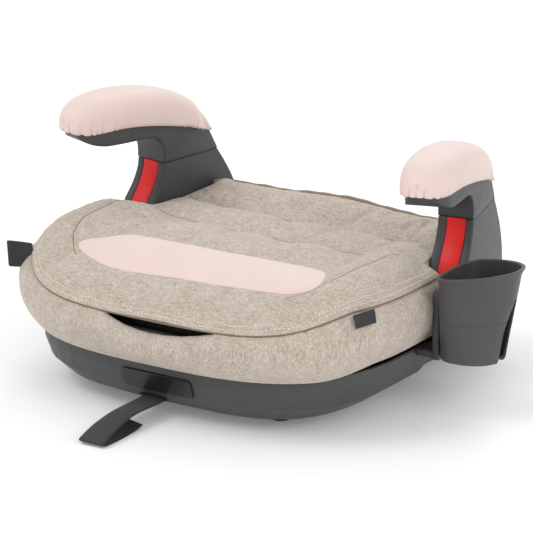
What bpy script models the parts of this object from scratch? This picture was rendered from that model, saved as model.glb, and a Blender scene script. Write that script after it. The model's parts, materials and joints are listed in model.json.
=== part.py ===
"""Backless booster seat: plastic base and seat shell, foam and quilted cover, two armrests with
belt guides, a clip-on cup holder, and a rear anchor carriage that a front strap unlocks.

Frame: metres, +X to the cup holder side, +Y to the rear, +Z up. The origin is on the floor, on the
mid-plane, under the middle of the seat.
"""
import bpy
import bmesh
import math
from mathutils import Vector

# ---------------------------------------------------------------- driving dimensions (metres)
GAP = 0.0004                # clearance between touching pieces
FOOT_HEIGHT = 0.004         # how far the rubber feet hold the base off the floor
WIDEST_Y = -0.02            # where every outline is widest
SEAT_HALF_WIDTH = 0.198     # cover, at its perimeter seam
SEAT_FRONT_Y = -0.202
SEAT_REAR_Y = 0.151
SEAT_EXPONENT = 2.9         # squareness of the cover's front corners, 2 is an ellipse
FABRIC = 0.0025             # thickness of the sewn cover

BASE_WALL = 0.003
BASE_RIM_Z = 0.060
FOOT_RADIUS = 0.011
FOOT_PLACES = ((-0.095, -0.115), (0.095, -0.115), (-0.095, 0.125), (0.095, 0.125), (0.0, 0.0))
BOSS_RADIUS = 0.005         # screw bosses between the base and the seat shell
BOSS_PLACES = ((-0.060, -0.090), (0.060, -0.090), (-0.060, 0.1415), (0.060, 0.1415))
BOSS_LOW_Z = 0.0092

SHELL_Z = 0.0610            # underside of the seat shell
SHELL_FLOOR = 0.0045
SHELL_WALL = 0.0025
WING_OUTLINE = ((0.10, 0.004), (0.196, 0.004), (0.1985, 0.03), (0.1955, 0.10), (0.186, 0.178), (0.10, 0.178))
SHELL_WALL_TOP_Z = 0.087
LINER_TOP_Z = 0.096

BADGE_HALF_WIDTH = 0.040
BADGE_HALF_HEIGHT = 0.011
BADGE_CENTRE = (0.0, -0.1834, 0.0370)
BADGE_POCKET = 0.0013       # depth of the recess under the plate
WALL_LEAN = math.radians(19)

POST_X = 0.1610             # inner face of an armrest post at its pivot point
POST_Y = 0.052
POST_TOE = math.radians(8.5)   # armrests spread towards the front
POST_WIDTH = 0.038          # at the pivot point
POST_TAPER = 0.11           # narrowing of posts and arms per metre towards the rear
POST_GAP = 0.0022           # cover edge to post
NOTCH_Y = 0.013             # the cover steps inwards behind this line, around the posts
GUIDE_WIDTH = 0.0195
GUIDE_DEPTH = 0.0022
GUIDE_THICKNESS = 0.0014
PARTING_Z = 0.1665          # joint between post and arm, at its front

PAD_HALF_WIDTH = 0.0300

CUP_X = 0.2145              # flat back of the cup holder
CUP_Y = -0.0060
CUP_FLOOR_Z = 0.0560
CUP_RIM_Z = 0.1390          # rim height at the flat back
CUP_RIM_SLOPE = 0.17        # the rim climbs away from the seat
CUP_WALL = 0.0024

ANCHOR_SPACING = 0.280      # between the two lower anchor bars of a car
ANCHOR_Z = 0.036
ARM_TUBE_WIDTH = 0.020
ARM_TUBE_HEIGHT = 0.018
ARM_TUBE_WALL = 0.002
JAW_PIN_Y = 0.150
RACK_PITCH = 0.010
PAWL_PIN_Y = -0.010
PAWL_PIN_Z = 0.034
STRAP_WIDTH = 0.028
STRAP_X = -0.013
STRAP_THICKNESS = 0.0018
STRAP_Z = 0.0145


# ---------------------------------------------------------------- scene and materials
def clear_scene():
    for obj in list(bpy.data.objects):
        bpy.data.objects.remove(obj, do_unlink=True)


def make_material(name, color, roughness, metallic=0.0):
    mat = bpy.data.materials.new(name)
    mat.use_nodes = True
    shader = mat.node_tree.nodes["Principled BSDF"]
    shader.inputs["Base Color"].default_value = (*color, 1.0)
    shader.inputs["Roughness"].default_value = roughness
    shader.inputs["Metallic"].default_value = metallic
    return mat


COLORS = {
    "charcoal_plastic": ((0.055, 0.055, 0.058), 0.55, 0.0),
    "black_plastic": ((0.015, 0.015, 0.016), 0.35, 0.0),
    "red_plastic": ((0.62, 0.010, 0.006), 0.35, 0.0),
    "melange_fabric": ((0.53, 0.46, 0.39), 0.90, 0.0),
    "pink_fabric": ((0.84, 0.68, 0.64), 0.80, 0.0),
    "piping_fabric": ((0.33, 0.24, 0.17), 0.90, 0.0),
    "black_webbing": ((0.012, 0.012, 0.013), 0.60, 0.0),
    "white_foam": ((0.80, 0.80, 0.78), 0.95, 0.0),
    "grey_foam": ((0.30, 0.30, 0.32), 0.95, 0.0),
    "steel": ((0.55, 0.55, 0.57), 0.30, 1.0),
    "rubber": ((0.02, 0.02, 0.02), 0.85, 0.0),
}


# ---------------------------------------------------------------- mesh helpers
def finish_mesh(name, bm, color):
    """Close off a bmesh as an object with outward faces and its own material."""
    bmesh.ops.recalc_face_normals(bm, faces=bm.faces)
    if bm.calc_volume(signed=True) < 0:
        bmesh.ops.reverse_faces(bm, faces=bm.faces)
    mesh = bpy.data.meshes.new(name)
    bm.to_mesh(mesh)
    bm.free()
    mesh.shade_smooth()
    mesh.set_sharp_from_angle(angle=math.radians(35))
    if color:
        mesh.materials.append(make_material(name + "_material", *COLORS[color]))
    obj = bpy.data.objects.new(name, mesh)
    bpy.context.scene.collection.objects.link(obj)
    return obj


def loft(name, rings, color):
    """Skin a list of rings that have the same number of points, and cap both ends."""
    bm = bmesh.new()
    rows = [[bm.verts.new(point) for point in ring] for ring in rings]
    count = len(rows[0])
    for lower, upper in zip(rows, rows[1:]):
        for i in range(count):
            j = (i + 1) % count
            bm.faces.new((lower[i], lower[j], upper[j], upper[i]))
    bm.faces.new(rows[0])
    bm.faces.new(rows[-1])
    return finish_mesh(name, bm, color)


def closed_loft(name, rings, color):
    """Skin rings into a hoop: the last ring joins the first."""
    bm = bmesh.new()
    rows = [[bm.verts.new(point) for point in ring] for ring in rings]
    count = len(rows[0])
    for lower, upper in zip(rows, rows[1:] + rows[:1]):
        for i in range(count):
            j = (i + 1) % count
            bm.faces.new((lower[i], lower[j], upper[j], upper[i]))
    return finish_mesh(name, bm, color)


def prism(name, points, axis, low, high, color):
    """Extrude a flat outline along X, Y or Z. The points give the other two coordinates, in order."""
    slot = "XYZ".index(axis)
    rings = [[(*pair[:slot], level, *pair[slot:]) for pair in points] for level in (low, high)]
    return loft(name, rings, color)


def box(name, low, high, color):
    corners = [(low[0], low[1]), (high[0], low[1]), (high[0], high[1]), (low[0], high[1])]
    return prism(name, corners, "Z", low[2], high[2], color)


def disc(centre, radius, count, start=0.0):
    turns = [start + 2 * math.pi * i / count for i in range(count)]
    return [(centre[0] + radius * math.cos(t), centre[1] + radius * math.sin(t)) for t in turns]


def arc(centre, radius, start_deg, end_deg, count):
    angles = [math.radians(start_deg + (end_deg - start_deg) * i / (count - 1)) for i in range(count)]
    return [(centre[0] + radius * math.cos(t), centre[1] + radius * math.sin(t)) for t in angles]


def add_bevel(obj, width, segments=2):
    bevel = obj.modifiers.new("Bevel", "BEVEL")
    bevel.width = width
    bevel.segments = segments
    bevel.limit_method = "ANGLE"
    bevel.angle_limit = math.radians(50)


def boolean(obj, tool, operation):
    """Cut with, or join to, a tool object that is left out of the build."""
    tool.hide_render = True
    tool.display_type = "WIRE"
    modifier = obj.modifiers.new(operation.title(), "BOOLEAN")
    modifier.operation = operation
    modifier.solver = "EXACT"
    modifier.object = tool


def mix(low, high, amount):
    return low + (high - low) * amount


def smooth_step(low, high, value):
    t = min(max((value - low) / (high - low), 0.0), 1.0)
    return t * t * (3 - 2 * t)


def piecewise(knots, value):
    """Straight-line interpolation through (place, height) knots."""
    if value <= knots[0][0]:
        return knots[0][1]
    for (x0, y0), (x1, y1) in zip(knots, knots[1:]):
        if value <= x1:
            return mix(y0, y1, (value - x0) / (x1 - x0))
    return knots[-1][1]


# ---------------------------------------------------------------- outlines seen from above
def front_arc(half_width, front_y, exponent, count=12):
    """Right half of a rounded front, from the mid-plane out to the widest point."""
    depth = WIDEST_Y - front_y
    points = []
    for i in range(count):
        turn = math.radians(90 * i / (count - 1))
        x = half_width * math.sin(turn) ** (2 / exponent)
        y = WIDEST_Y - depth * max(math.cos(turn), 0.0) ** (2 / exponent)
        points.append((x, y))
    return points


def mirrored(half):
    """Whole outline from its right half, which starts and ends on the mid-plane."""
    return half + [(-x, y) for x, y in reversed(half[1:-1])]


def post_face_x(y):
    """Inner face of the right armrest post."""
    return POST_X - (y - POST_Y) * math.tan(POST_TOE)


def seat_outline(inset=0.0, notch_inset=None):
    """Cover outline: a rounded front, then notches that clear both posts, then a straight rear."""
    if notch_inset is None:
        notch_inset = inset
    side_gap = POST_GAP + notch_inset
    notch_y = NOTCH_Y - notch_inset
    rear_y = SEAT_REAR_Y - inset
    radius = 0.016
    half = front_arc(SEAT_HALF_WIDTH - inset, SEAT_FRONT_Y + inset, SEAT_EXPONENT)
    half.append((SEAT_HALF_WIDTH - inset, mix(WIDEST_Y, notch_y, 0.6)))
    half.append((SEAT_HALF_WIDTH - 0.004 - inset, notch_y))
    half.append((post_face_x(notch_y) - side_gap + 0.006, notch_y))
    half.append((post_face_x(notch_y) - side_gap, notch_y + 0.006))
    half.append((post_face_x(0.06) - side_gap, 0.06))
    half.append((post_face_x(0.10) - side_gap, 0.10))
    corner_x = post_face_x(rear_y - radius) - side_gap - radius
    half += arc((corner_x, rear_y - radius), radius, 0, 90, 4)
    half.append((0.065, rear_y + 0.001))
    half.append((0.0, rear_y + 0.002))
    return mirrored(half)


def base_outline(half_width, front_y, rear_y, rear_radius, exponent):
    """Plastic outline: a rounded front, straight sides and rounded rear corners."""
    half = front_arc(half_width, front_y, exponent)
    half += [(half_width, y) for y in (0.0, 0.012, 0.025, 0.060, 0.095, 0.107)]
    half += arc((half_width - rear_radius, rear_y - rear_radius), rear_radius, 0, 90, 5)
    half.append((0.0, rear_y))
    return mirrored(half)


def at_height(outline, z):
    return [(x, y, z) for x, y in outline]


# ---------------------------------------------------------------- base
# height, half width, front, rear, rear corner radius, squareness of the front corners
BASE_LEVELS = [
    (FOOT_HEIGHT, 0.122, -0.140, 0.142, 0.030, 3.1),
    (FOOT_HEIGHT + 0.002, 0.142, -0.151, 0.152, 0.032, 3.4),
    (0.015, 0.159, -0.169, 0.162, 0.030, 3.5),
    (0.028, 0.178, -0.1805, 0.169, 0.028, 3.3),
    (0.045, 0.187, -0.1860, 0.173, 0.026, 3.1),
    (BASE_RIM_Z, 0.1885, -0.1870, 0.175, 0.026, 3.0),
]
ARCH_LIFT = 0.016         # how far the base's lower edge rises at the sides


def arch_lift(x, y, z):
    """Rise of the lower side edge, fading out towards the rim."""
    along = smooth_step(0.000, 0.025, y) * (1.0 - smooth_step(0.095, 0.120, y))
    fade = (BASE_RIM_Z - z) / (BASE_RIM_Z - FOOT_HEIGHT)
    return ARCH_LIFT * along * fade * smooth_step(0.146, 0.164, abs(x))


def base_ring(level, inset, rise=0.0):
    height, half_width, front, rear, radius, exponent = level
    outline = base_outline(half_width - inset, front + inset, rear - inset, radius - inset * 0.5, exponent)
    z = height + rise
    return [(x, y, z + arch_lift(x * (half_width / (half_width - inset)), y, height)) for x, y in outline]


def build_base_shell():
    outside = [base_ring(level, 0.0) for level in BASE_LEVELS]
    inside = [base_ring(BASE_LEVELS[-1], BASE_WALL)]
    inside += [base_ring(level, BASE_WALL, BASE_WALL * 0.5) for level in reversed(BASE_LEVELS[2:-1])]
    inside += [base_ring(level, BASE_WALL, BASE_WALL) for level in reversed(BASE_LEVELS[:2])]
    shell = loft("base_shell", outside + inside, "charcoal_plastic")
    slots = []
    for side in (-1, 1):
        x = side * ANCHOR_SPACING / 2
        half = ARM_TUBE_WIDTH / 2 + 0.0015
        low_z = ANCHOR_Z - ARM_TUBE_HEIGHT / 2 - 0.0015
        high_z = ANCHOR_Z + ARM_TUBE_HEIGHT / 2 + 0.0085
        slots.append(((x - half, 0.12, low_z), (x + half, 0.20, high_z)))
    half_strap = STRAP_WIDTH / 2 + 0.002
    slots.append(((STRAP_X - half_strap, -0.20, STRAP_Z - 0.0025),
                  (STRAP_X + half_strap, -0.14, STRAP_Z + 0.0045)))
    for i, (low, high) in enumerate(slots):
        boolean(shell, box("cut_base_%d" % i, low, high, None), "DIFFERENCE")
    pocket = badge_slab("badge_pocket", GAP, (-0.010, BADGE_POCKET), None)
    boolean(shell, pocket, "DIFFERENCE")


def badge_slab(name, grow, depths, color):
    """Rounded rectangle parallel to the base's leaning front wall."""
    radius = 0.005
    width, height = BADGE_HALF_WIDTH + grow, BADGE_HALF_HEIGHT + grow
    outline = []
    for sign_x, sign_z, start in ((1, 1, 0), (-1, 1, 90), (-1, -1, 180), (1, -1, 270)):
        outline += arc((sign_x * (width - radius), sign_z * (height - radius)), radius, start, start + 90, 4)
    slab = prism(name, outline, "Y", depths[0], depths[1], color)
    slab.location = BADGE_CENTRE
    slab.rotation_euler = (WALL_LEAN, 0.0, 0.0)
    return slab


def build_badge_plate():
    """Blank gloss plate in a pocket of the base's front wall."""
    depths = (BADGE_POCKET - GAP - 0.0016, BADGE_POCKET - GAP)
    plate = badge_slab("badge_plate", -GAP, depths, "black_plastic")
    add_bevel(plate, 0.0004, 1)


def build_feet_and_screws():
    for i, centre in enumerate(FOOT_PLACES):
        outline = disc(centre, FOOT_RADIUS, 16)
        pad = prism("foot_%d" % (i + 1), outline, "Z", 0.0, FOOT_HEIGHT - GAP, "rubber")
        add_bevel(pad, 0.0008, 1)
    for i, centre in enumerate(BOSS_PLACES):
        outline = disc(centre, BOSS_RADIUS, 12)
        stem = prism("screw_boss_%d" % (i + 1), outline, "Z", BOSS_LOW_Z, SHELL_Z - GAP, "charcoal_plastic")
        add_bevel(stem, 0.0005, 1)


# ---------------------------------------------------------------- seat shell, liner and foam
DECK_FRONT_Y = 0.024        # behind this line the tray's floor closes the base out to its rim
DECK_MARGIN = 0.0008


def rear_deck():
    rim = [(x, y) for x, y, z in base_ring(BASE_LEVELS[-1], DECK_MARGIN) if y > DECK_FRONT_Y]
    half = max(x for x, y in rim)
    outline = sorted(rim + [(half, DECK_FRONT_Y), (-half, DECK_FRONT_Y)],
                     key=lambda point: math.atan2(point[1] - 0.10, point[0]))
    return prism("rear_deck", outline, "Z", SHELL_Z + 0.0005, SHELL_Z + 0.0033, None)


def build_seat_shell():
    """Tray that holds the foam, with two side wings that carry the posts."""
    rings = []
    for inset, z in ((0.0145, SHELL_Z), (0.0130, SHELL_WALL_TOP_Z), (0.0130 + SHELL_WALL, SHELL_WALL_TOP_Z),
                     (0.0145 + SHELL_WALL, SHELL_Z + SHELL_FLOOR)):
        rings.append(at_height(seat_outline(inset, inset - 0.0075), z))
    tray = loft("seat_shell", rings, "charcoal_plastic")
    for side, word in ((-1, "left"), (1, "right")):
        outline = [(side * x, y) for x, y in WING_OUTLINE]
        wing = prism(word + "_wing", outline, "Z", SHELL_Z + 0.0002, SHELL_Z + 0.0040, None)
        boolean(tray, wing, "UNION")
    boolean(tray, rear_deck(), "UNION")


def build_foam_liner():
    inset = 0.0162 + GAP
    rings = [at_height(seat_outline(inset + 0.0012, 0.0115), SHELL_Z + SHELL_FLOOR + GAP),
             at_height(seat_outline(inset, 0.0100), LINER_TOP_Z - 0.004),
             at_height(seat_outline(inset + 0.004, 0.0130), LINER_TOP_Z)]
    loft("foam_liner", rings, "white_foam")


CROWN = [(-0.165, 0.127), (-0.135, 0.1345), (-0.10, 0.1375), (-0.07, 0.138), (0.02, 0.131), (0.085, 0.124),
         (0.120, 0.129), (0.140, 0.132), (0.153, 0.130)]


def seam_z(y):
    """Height of the perimeter seam: low at the front, higher along the sides and the rear."""
    front = mix(0.1060, 0.1260, smooth_step(-0.20, -0.12, y))
    return mix(front, 0.1240, smooth_step(0.0, 0.03, y))


def plateau_z(x, y):
    """Height of the padded top away from its edge: a crowned middle between raised side bolsters."""
    bolster = 0.015 * smooth_step(0.105, 0.160, abs(x)) * smooth_step(-0.17, -0.12, y)
    bolster *= mix(1.0, 0.35, smooth_step(0.0, 0.05, y))
    rear_crown = 0.003 * smooth_step(0.09, 0.13, y) * (1.0 - smooth_step(0.0, 0.09, abs(x)))
    return piecewise(CROWN, y) + bolster + rear_crown


TOP_SCALES = (1.0, 0.985, 0.95, 0.90, 0.82, 0.66, 0.45, 0.20)


def top_ring(scale, inset, drop):
    """One ring of the padded top. It rises from the seam to the plateau over the outer fifth."""
    ring = []
    edge = min(max((1.0 - scale) / 0.18, 0.0), 1.0)
    rise = math.sqrt(1.0 - (1.0 - edge) ** 2)
    for x, y in seat_outline(inset, inset + 0.0015):
        px, py = x * scale, WIDEST_Y + (y - WIDEST_Y) * scale
        ring.append((px, py, mix(seam_z(y), plateau_z(px, py), rise) - drop))
    return ring


def build_comfort_foam():
    inset = 0.0070 + FABRIC
    top = [top_ring(scale, inset, FABRIC + 0.0030) for scale in TOP_SCALES]
    low = [at_height(seat_outline(inset + 0.002, 0.0075), LINER_TOP_Z + 0.0005),
           at_height(seat_outline(inset, 0.0070), LINER_TOP_Z + 0.006)]
    loft("comfort_foam", low + top, "grey_foam")


def build_cover_top():
    outer = [top_ring(scale, 0.0, 0.0) for scale in TOP_SCALES]
    inner = [top_ring(scale, 0.0015, FABRIC) for scale in TOP_SCALES]
    loft("cover_top", list(reversed(inner)) + outer, "melange_fabric")


def hem_z(y):
    """Lower edge of the band: low at the front, higher along the sides and behind the notches."""
    side = mix(0.0575, 0.0665, smooth_step(-0.16, -0.09, y))
    return mix(side, 0.0700, smooth_step(0.0, 0.008, y))


def build_cover_band():
    """Side panel of the cover: it bulges below the seam and pulls in at the hem."""
    stations = [(0.0, 0.0, 0.0), (0.3, -0.0085, 0.0), (0.65, -0.0070, 0.0004), (1.0, 0.0055, 0.0008)]
    rings = []
    for thickness in (0.0, FABRIC):
        loop = []
        for fraction, bulge, notch in stations:
            seam = seat_outline(0.0, 0.0015)
            outline = seat_outline(bulge + thickness, notch + 0.0015 + thickness)
            loop.append([(x, y, mix(seam_z(sy) - FABRIC - GAP * 1.5, hem_z(sy), fraction))
                         for (x, y), (sx, sy) in zip(outline, seam)])
        rings += loop if thickness == 0.0 else list(reversed(loop))
    closed_loft("cover_band", rings, "melange_fabric")


PANEL_HALF = [(0.0, -0.158), (0.045, -0.1565), (0.084, -0.1515), (0.108, -0.1465), (0.122, -0.1415),
              (0.1275, -0.134), (0.1265, -0.122), (0.1200, -0.099), (0.1150, -0.0890), (0.106, -0.0830),
              (0.050, -0.0825), (0.0, -0.0835)]


def build_insert_panel():
    """Smooth insert sewn onto the front of the top."""
    centre_y = -0.119
    lift, thickness = 0.0022, 0.0014
    rings = []
    for level, scales in ((lift, (0.25, 0.6, 1.0)), (lift + thickness, (1.0, 0.6, 0.25))):
        for scale in scales:
            outline = [(x * scale, centre_y + (y - centre_y) * scale) for x, y in mirrored(PANEL_HALF)]
            rings.append([(x, y, plateau_z(x, y) + level) for x, y in outline])
    loft("insert_panel", rings, "pink_fabric")


def build_back_piping():
    """Woven cord along the rear top edge."""
    radius, sides, steps = 0.0019, 8, 13
    rings = []
    for i in range(steps):
        x = mix(-0.118, 0.118, i / (steps - 1))
        y = SEAT_REAR_Y + 0.0048 - 0.001 * abs(x) / 0.118
        rings.append([(x, y + radius * math.cos(t), 0.1235 + radius * math.sin(t))
                      for t in (2 * math.pi * k / sides for k in range(sides))])
    loft("back_piping", rings, "piping_fabric")


def build_tags():
    """Two blank fabric tabs at the perimeter seam: the left one stands out, the right one lies flat."""
    outline = [(0.0100, 0.1060), (0.0240, 0.1045), (0.0250, 0.1320), (0.0030, 0.1330)]
    left = prism("left_tag", outline, "Y", -0.0006, 0.0006, "black_webbing")
    left.location = (-0.1757, -0.1391, 0.0)
    left.rotation_euler = (0.0, 0.0, math.radians(211.3))
    right = box("right_tag", (-0.0135, -0.0014, 0.1130), (0.0135, -0.0004, 0.1255), "black_webbing")
    right.location = (0.1947, -0.1246, 0.0)
    right.rotation_euler = (0.0, 0.0, math.radians(68.8))
    for tag in (left, right):
        add_bevel(tag, 0.0003, 1)


# ---------------------------------------------------------------- armrests (local X outwards, Y rearwards)
FRONT_FACE = [(-0.001, 0.0655), (-0.008, 0.095), (-0.0085, 0.120), (-0.001, 0.1395), (0.009, 0.156),
              (0.0140, PARTING_Z)]
REAR_FACE = [(0.0925, 0.1625), (0.1060, 0.143), (0.1180, 0.124), (0.1265, 0.100), (0.1280, 0.0655)]


def place_armrest(obj, side):
    obj.location = (side * POST_X, POST_Y, 0.0)
    obj.rotation_euler = (0.0, 0.0, side * POST_TOE)


def side_plate(name, points, side, low, high, color, taper=0.0):
    """Extrude a (Y, Z) outline outwards from the inner face of the armrest, tapered if asked."""
    inner = [(side * low, y + nose_shift(y, -1), z) for y, z in points]
    outer = [(side * (high - taper * POST_TAPER * y), y + nose_shift(y, 1), z) for y, z in points]
    obj = loft(name, [inner, outer], color)
    place_armrest(obj, side)
    return obj


def guide_band(depth_in, depth_out, low_z, high_z):
    """Strip that follows the front face, between two depths behind it."""
    knots = [(z, y) for y, z in FRONT_FACE]
    heights = [mix(low_z, high_z, i / 8) for i in range(9)]
    front = [(piecewise(knots, z) + depth_out, z) for z in heights]
    back = [(piecewise(knots, z) + depth_in, z) for z in reversed(heights)]
    return front + back


def build_post(side, word):
    outline = FRONT_FACE + [(0.0235, PARTING_Z - 0.0008)] + REAR_FACE
    post = side_plate(word + "_armrest_post", outline, side, 0.0, POST_WIDTH, "charcoal_plastic", 1.0)
    add_bevel(post, 0.0055, 2)
    middle = POST_WIDTH / 2
    half = GUIDE_WIDTH / 2 + GAP
    cut = guide_band(GUIDE_DEPTH, -0.02, 0.090, PARTING_Z + 0.01)
    guide_cut = side_plate(word + "_guide_cut", cut, side, middle - half, middle + half, None)
    boolean(post, guide_cut, "DIFFERENCE")
    back = GUIDE_DEPTH - GAP
    band = guide_band(back, back - GUIDE_THICKNESS, 0.0910, PARTING_Z - 0.0006)
    half = GUIDE_WIDTH / 2
    side_plate(word + "_belt_guide", band, side, middle - half, middle + half, "red_plastic")


NOSE_SLANT = 0.005          # half the difference between the inner and the outer front corner


def nose_shift(y, across):
    """Forward or rearward shift of the nose: across is -1 at the inner side and 1 at the outer side."""
    return NOSE_SLANT * across * smooth_step(0.02, 0.095, -y)


UNDERSIDE = [(0.0140, PARTING_Z + GAP), (0.0140, 0.178), (0.0100, 0.1868), (0.0020, 0.1930),
             (-0.0090, 0.1965),
             (-0.0300, 0.1970), (-0.0630, 0.2020), (-0.0820, 0.2085), (-0.0915, 0.2150), (-0.0955, 0.2220)]
PAD_SEAT = [(-0.0935, 0.2270), (-0.0820, 0.2290), (-0.0520, 0.2270), (0.0100, 0.2140), (0.0420, 0.2050),
            (0.0680, 0.1970)]
ARM_REAR = [(0.0800, 0.1900), (0.0925, 0.1625 + GAP)]


def build_arm(side, word):
    outline = UNDERSIDE + PAD_SEAT + ARM_REAR + [(0.0235, PARTING_Z - 0.0008 + GAP)]
    arm = side_plate(word + "_arm", outline, side, 0.0, POST_WIDTH, "charcoal_plastic", 1.0)
    add_bevel(arm, 0.0050, 2)


PAD_TOP = [(-0.1020, 0.2300), (-0.0970, 0.2395), (-0.0860, 0.2450), (-0.0650, 0.2475), (-0.0420, 0.2475),
           (-0.0150, 0.2455), (0.0120, 0.2405), (0.0340, 0.2330), (0.0560, 0.2215), (0.0740, 0.2075),
           (0.0850, 0.1965), (0.0890, 0.1890)]
PAD_BOTTOM = [(-0.1020, 0.2215), (-0.084, 0.2165), (-0.045, 0.2130), (-0.015, 0.2080), (0.014, 0.2020),
              (0.046, 0.1950), (0.074, 0.1880), (0.0890, 0.1855)]


def pad_rings(shrink, side):
    """Cross-sections of an arm pad along its length, in the armrest's local frame."""
    sections, sides = 11, 12
    front, rear = PAD_TOP[0][0] + shrink, PAD_TOP[-1][0] - shrink
    rings = []
    for i in range(sections):
        turn = math.pi * i / (sections - 1)
        y = mix(front, rear, (1 - math.cos(turn)) / 2)
        top, bottom = piecewise(PAD_TOP, y) - shrink, piecewise(PAD_BOTTOM, y) + shrink
        end = math.sin(math.pi * min(max((y - front) / (rear - front), 0.0), 1.0))
        half = (PAD_HALF_WIDTH - shrink) * (0.38 + 0.62 * max(end, 0.0) ** 0.45)
        middle, height = (top + bottom) / 2, max(top - bottom, 0.004) / 2
        ring = []
        for k in range(sides):
            angle = 2 * math.pi * (k + 0.5) / sides
            ca, sa = math.cos(angle), math.sin(angle)
            x = half * math.copysign(abs(ca) ** 0.75, ca)
            z = middle + height * math.copysign(abs(sa) ** 0.75, sa)
            ring.append((side * (POST_WIDTH / 2 + x), y + nose_shift(y, x / half), z))
        rings.append(ring)
    return rings


def build_pad(side, word):
    """Foam block and its sewn cover. Both are open below, where the arm enters them."""
    skin = 0.0016
    clearance = 0.0005
    front_y, low_z = PAD_SEAT[0][0] - 0.0065, 0.150
    core_outline = [(front_y, low_z), (front_y, PAD_SEAT[0][1])]
    core_outline += [(y, z + clearance) for y, z in PAD_SEAT]
    core_outline += [(ARM_REAR[0][0] + 0.0035, ARM_REAR[0][1] + 0.003), (0.100, 0.165), (0.100, low_z)]
    core = side_plate(word + "_core_cut", core_outline, side, -clearance, POST_WIDTH + clearance, None, 1.0)
    cover = loft(word + "_pad_cover", pad_rings(0.0, side), "pink_fabric")
    cavity = loft(word + "_pad_cavity", pad_rings(skin, side), None)
    foam = loft(word + "_pad_foam", pad_rings(skin + clearance, side), "grey_foam")
    for obj in (cover, cavity, foam):
        place_armrest(obj, side)
    boolean(cover, core, "DIFFERENCE")
    boolean(cover, cavity, "DIFFERENCE")
    boolean(foam, core, "DIFFERENCE")


# ---------------------------------------------------------------- cup holder
CUP_BACK = 0.020            # depth of the squarish half that faces the seat
CUP_SQUARENESS = 2.8


def cup_outline(depth, half_width, grow=0.0, count=20):
    """D-shape: a squarish half towards the seat, a round half away from it."""
    centre = CUP_X + CUP_BACK
    reach, back = depth - CUP_BACK + grow, CUP_BACK + grow
    points = []
    for i in range(count):
        turn = math.radians(-90 + 180 * i / count)
        points.append((centre + reach * math.cos(turn), CUP_Y + (half_width + grow) * math.sin(turn)))
    for i in range(count):
        turn = math.radians(180 * i / count)
        across, out = math.cos(turn), math.sin(turn)
        share_y = math.copysign(abs(across) ** (2 / CUP_SQUARENESS), across)
        points.append((centre - back * out ** (2 / CUP_SQUARENESS), CUP_Y + (half_width + grow) * share_y))
    return points


def cup_ring(depth, half_width, grow, level):
    """Ring at a share of the height: 0 is the floor, 1 the sloped rim."""
    ring = []
    for x, y in cup_outline(depth, half_width, grow):
        rim_z = CUP_RIM_Z + CUP_RIM_SLOPE * (x - CUP_X)
        ring.append((x, y, mix(CUP_FLOOR_Z, rim_z, level)))
    return ring


CUP_SIZES = ((0.0, 0.058, 0.0295), (0.28, 0.062, 0.0320), (0.30, 0.0632, 0.0328), (0.92, 0.074, 0.0365))
SLOT_TURN = math.radians(1)    # the handle slot faces outwards
SLOT_OUTLINE = [(-0.0072, 0.030), (0.0072, 0.030), (0.0072, 0.1140), (0.0050, 0.1130),
                (-0.0060, 0.0930), (-0.0072, 0.0890)]
HOOK_HALF_WIDTH = 0.012


def build_cup_holder():
    rings = [cup_ring(depth, half, 0.0, level) for level, depth, half in CUP_SIZES]
    rings.append(cup_ring(0.0765, 0.0372, 0.0010, 0.985))
    rings.append(cup_ring(0.0765, 0.0372, 0.0008, 1.0))
    rings.append(cup_ring(0.0750, 0.0370, -CUP_WALL, 1.0))
    rings.append(cup_ring(0.0632, 0.0328, -CUP_WALL, 0.30))
    rings.append([(x, y, CUP_FLOOR_Z + CUP_WALL) for x, y, z in cup_ring(0.058, 0.0295, -CUP_WALL, 0.0)])
    cup = loft("cup_holder", rings, "charcoal_plastic")
    slot = prism("cup_slot", SLOT_OUTLINE, "X", 0.030, 0.098, None)
    slot.location = (CUP_X + 0.012, CUP_Y, 0.0)
    slot.rotation_euler = (0.0, 0.0, SLOT_TURN)
    boolean(cup, slot, "DIFFERENCE")
    hook = box("cup_hook", (CUP_X - 0.0050, CUP_Y - HOOK_HALF_WIDTH, 0.0860),
               (CUP_X + 0.0015, CUP_Y + HOOK_HALF_WIDTH, 0.1175), None)
    boolean(cup, hook, "UNION")


def build_cup_bracket():
    """Bracket screwed to the base's side. The cup holder's hook drops into its open channel."""
    low_x, high_x = CUP_X - 0.0072, CUP_X - 0.0006
    low_y, high_y = CUP_Y - 0.019, CUP_Y + 0.019
    bracket = box("cup_bracket", (low_x, low_y, 0.0530), (high_x, high_y, 0.1180), "charcoal_plastic")
    foot = box("bracket_foot", (BASE_LEVELS[-1][1] + 0.0006, low_y + 0.001, 0.0540),
               (high_x - 0.001, high_y - 0.001, 0.0604), None)
    half = HOOK_HALF_WIDTH + 0.0008
    channel = box("bracket_channel", (CUP_X - 0.0056, CUP_Y - half, 0.0852),
                  (CUP_X + 0.01, CUP_Y + half, 0.13), None)
    boolean(bracket, foot, "UNION")
    boolean(bracket, channel, "DIFFERENCE")


# ---------------------------------------------------------------- anchor carriage
JAW_OUTLINE = [(-0.0045, -0.0013), (0.0060, -0.0029), (0.0185, -0.0015), (0.0190, 0.0030), (0.0150, 0.0030),
               (0.0130, -0.0001), (0.0050, 0.0005), (-0.0010, 0.0045), (-0.0080, 0.0055)]
JAW_HALF_WIDTH = 0.0045
JAW_PIN_RADIUS = 0.0018
JAW_PIN_Z = ANCHOR_Z - 0.0035
BUTTON_Y = 0.1165           # front of a release button's stem
BUTTON_TRAVEL = 0.006


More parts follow.
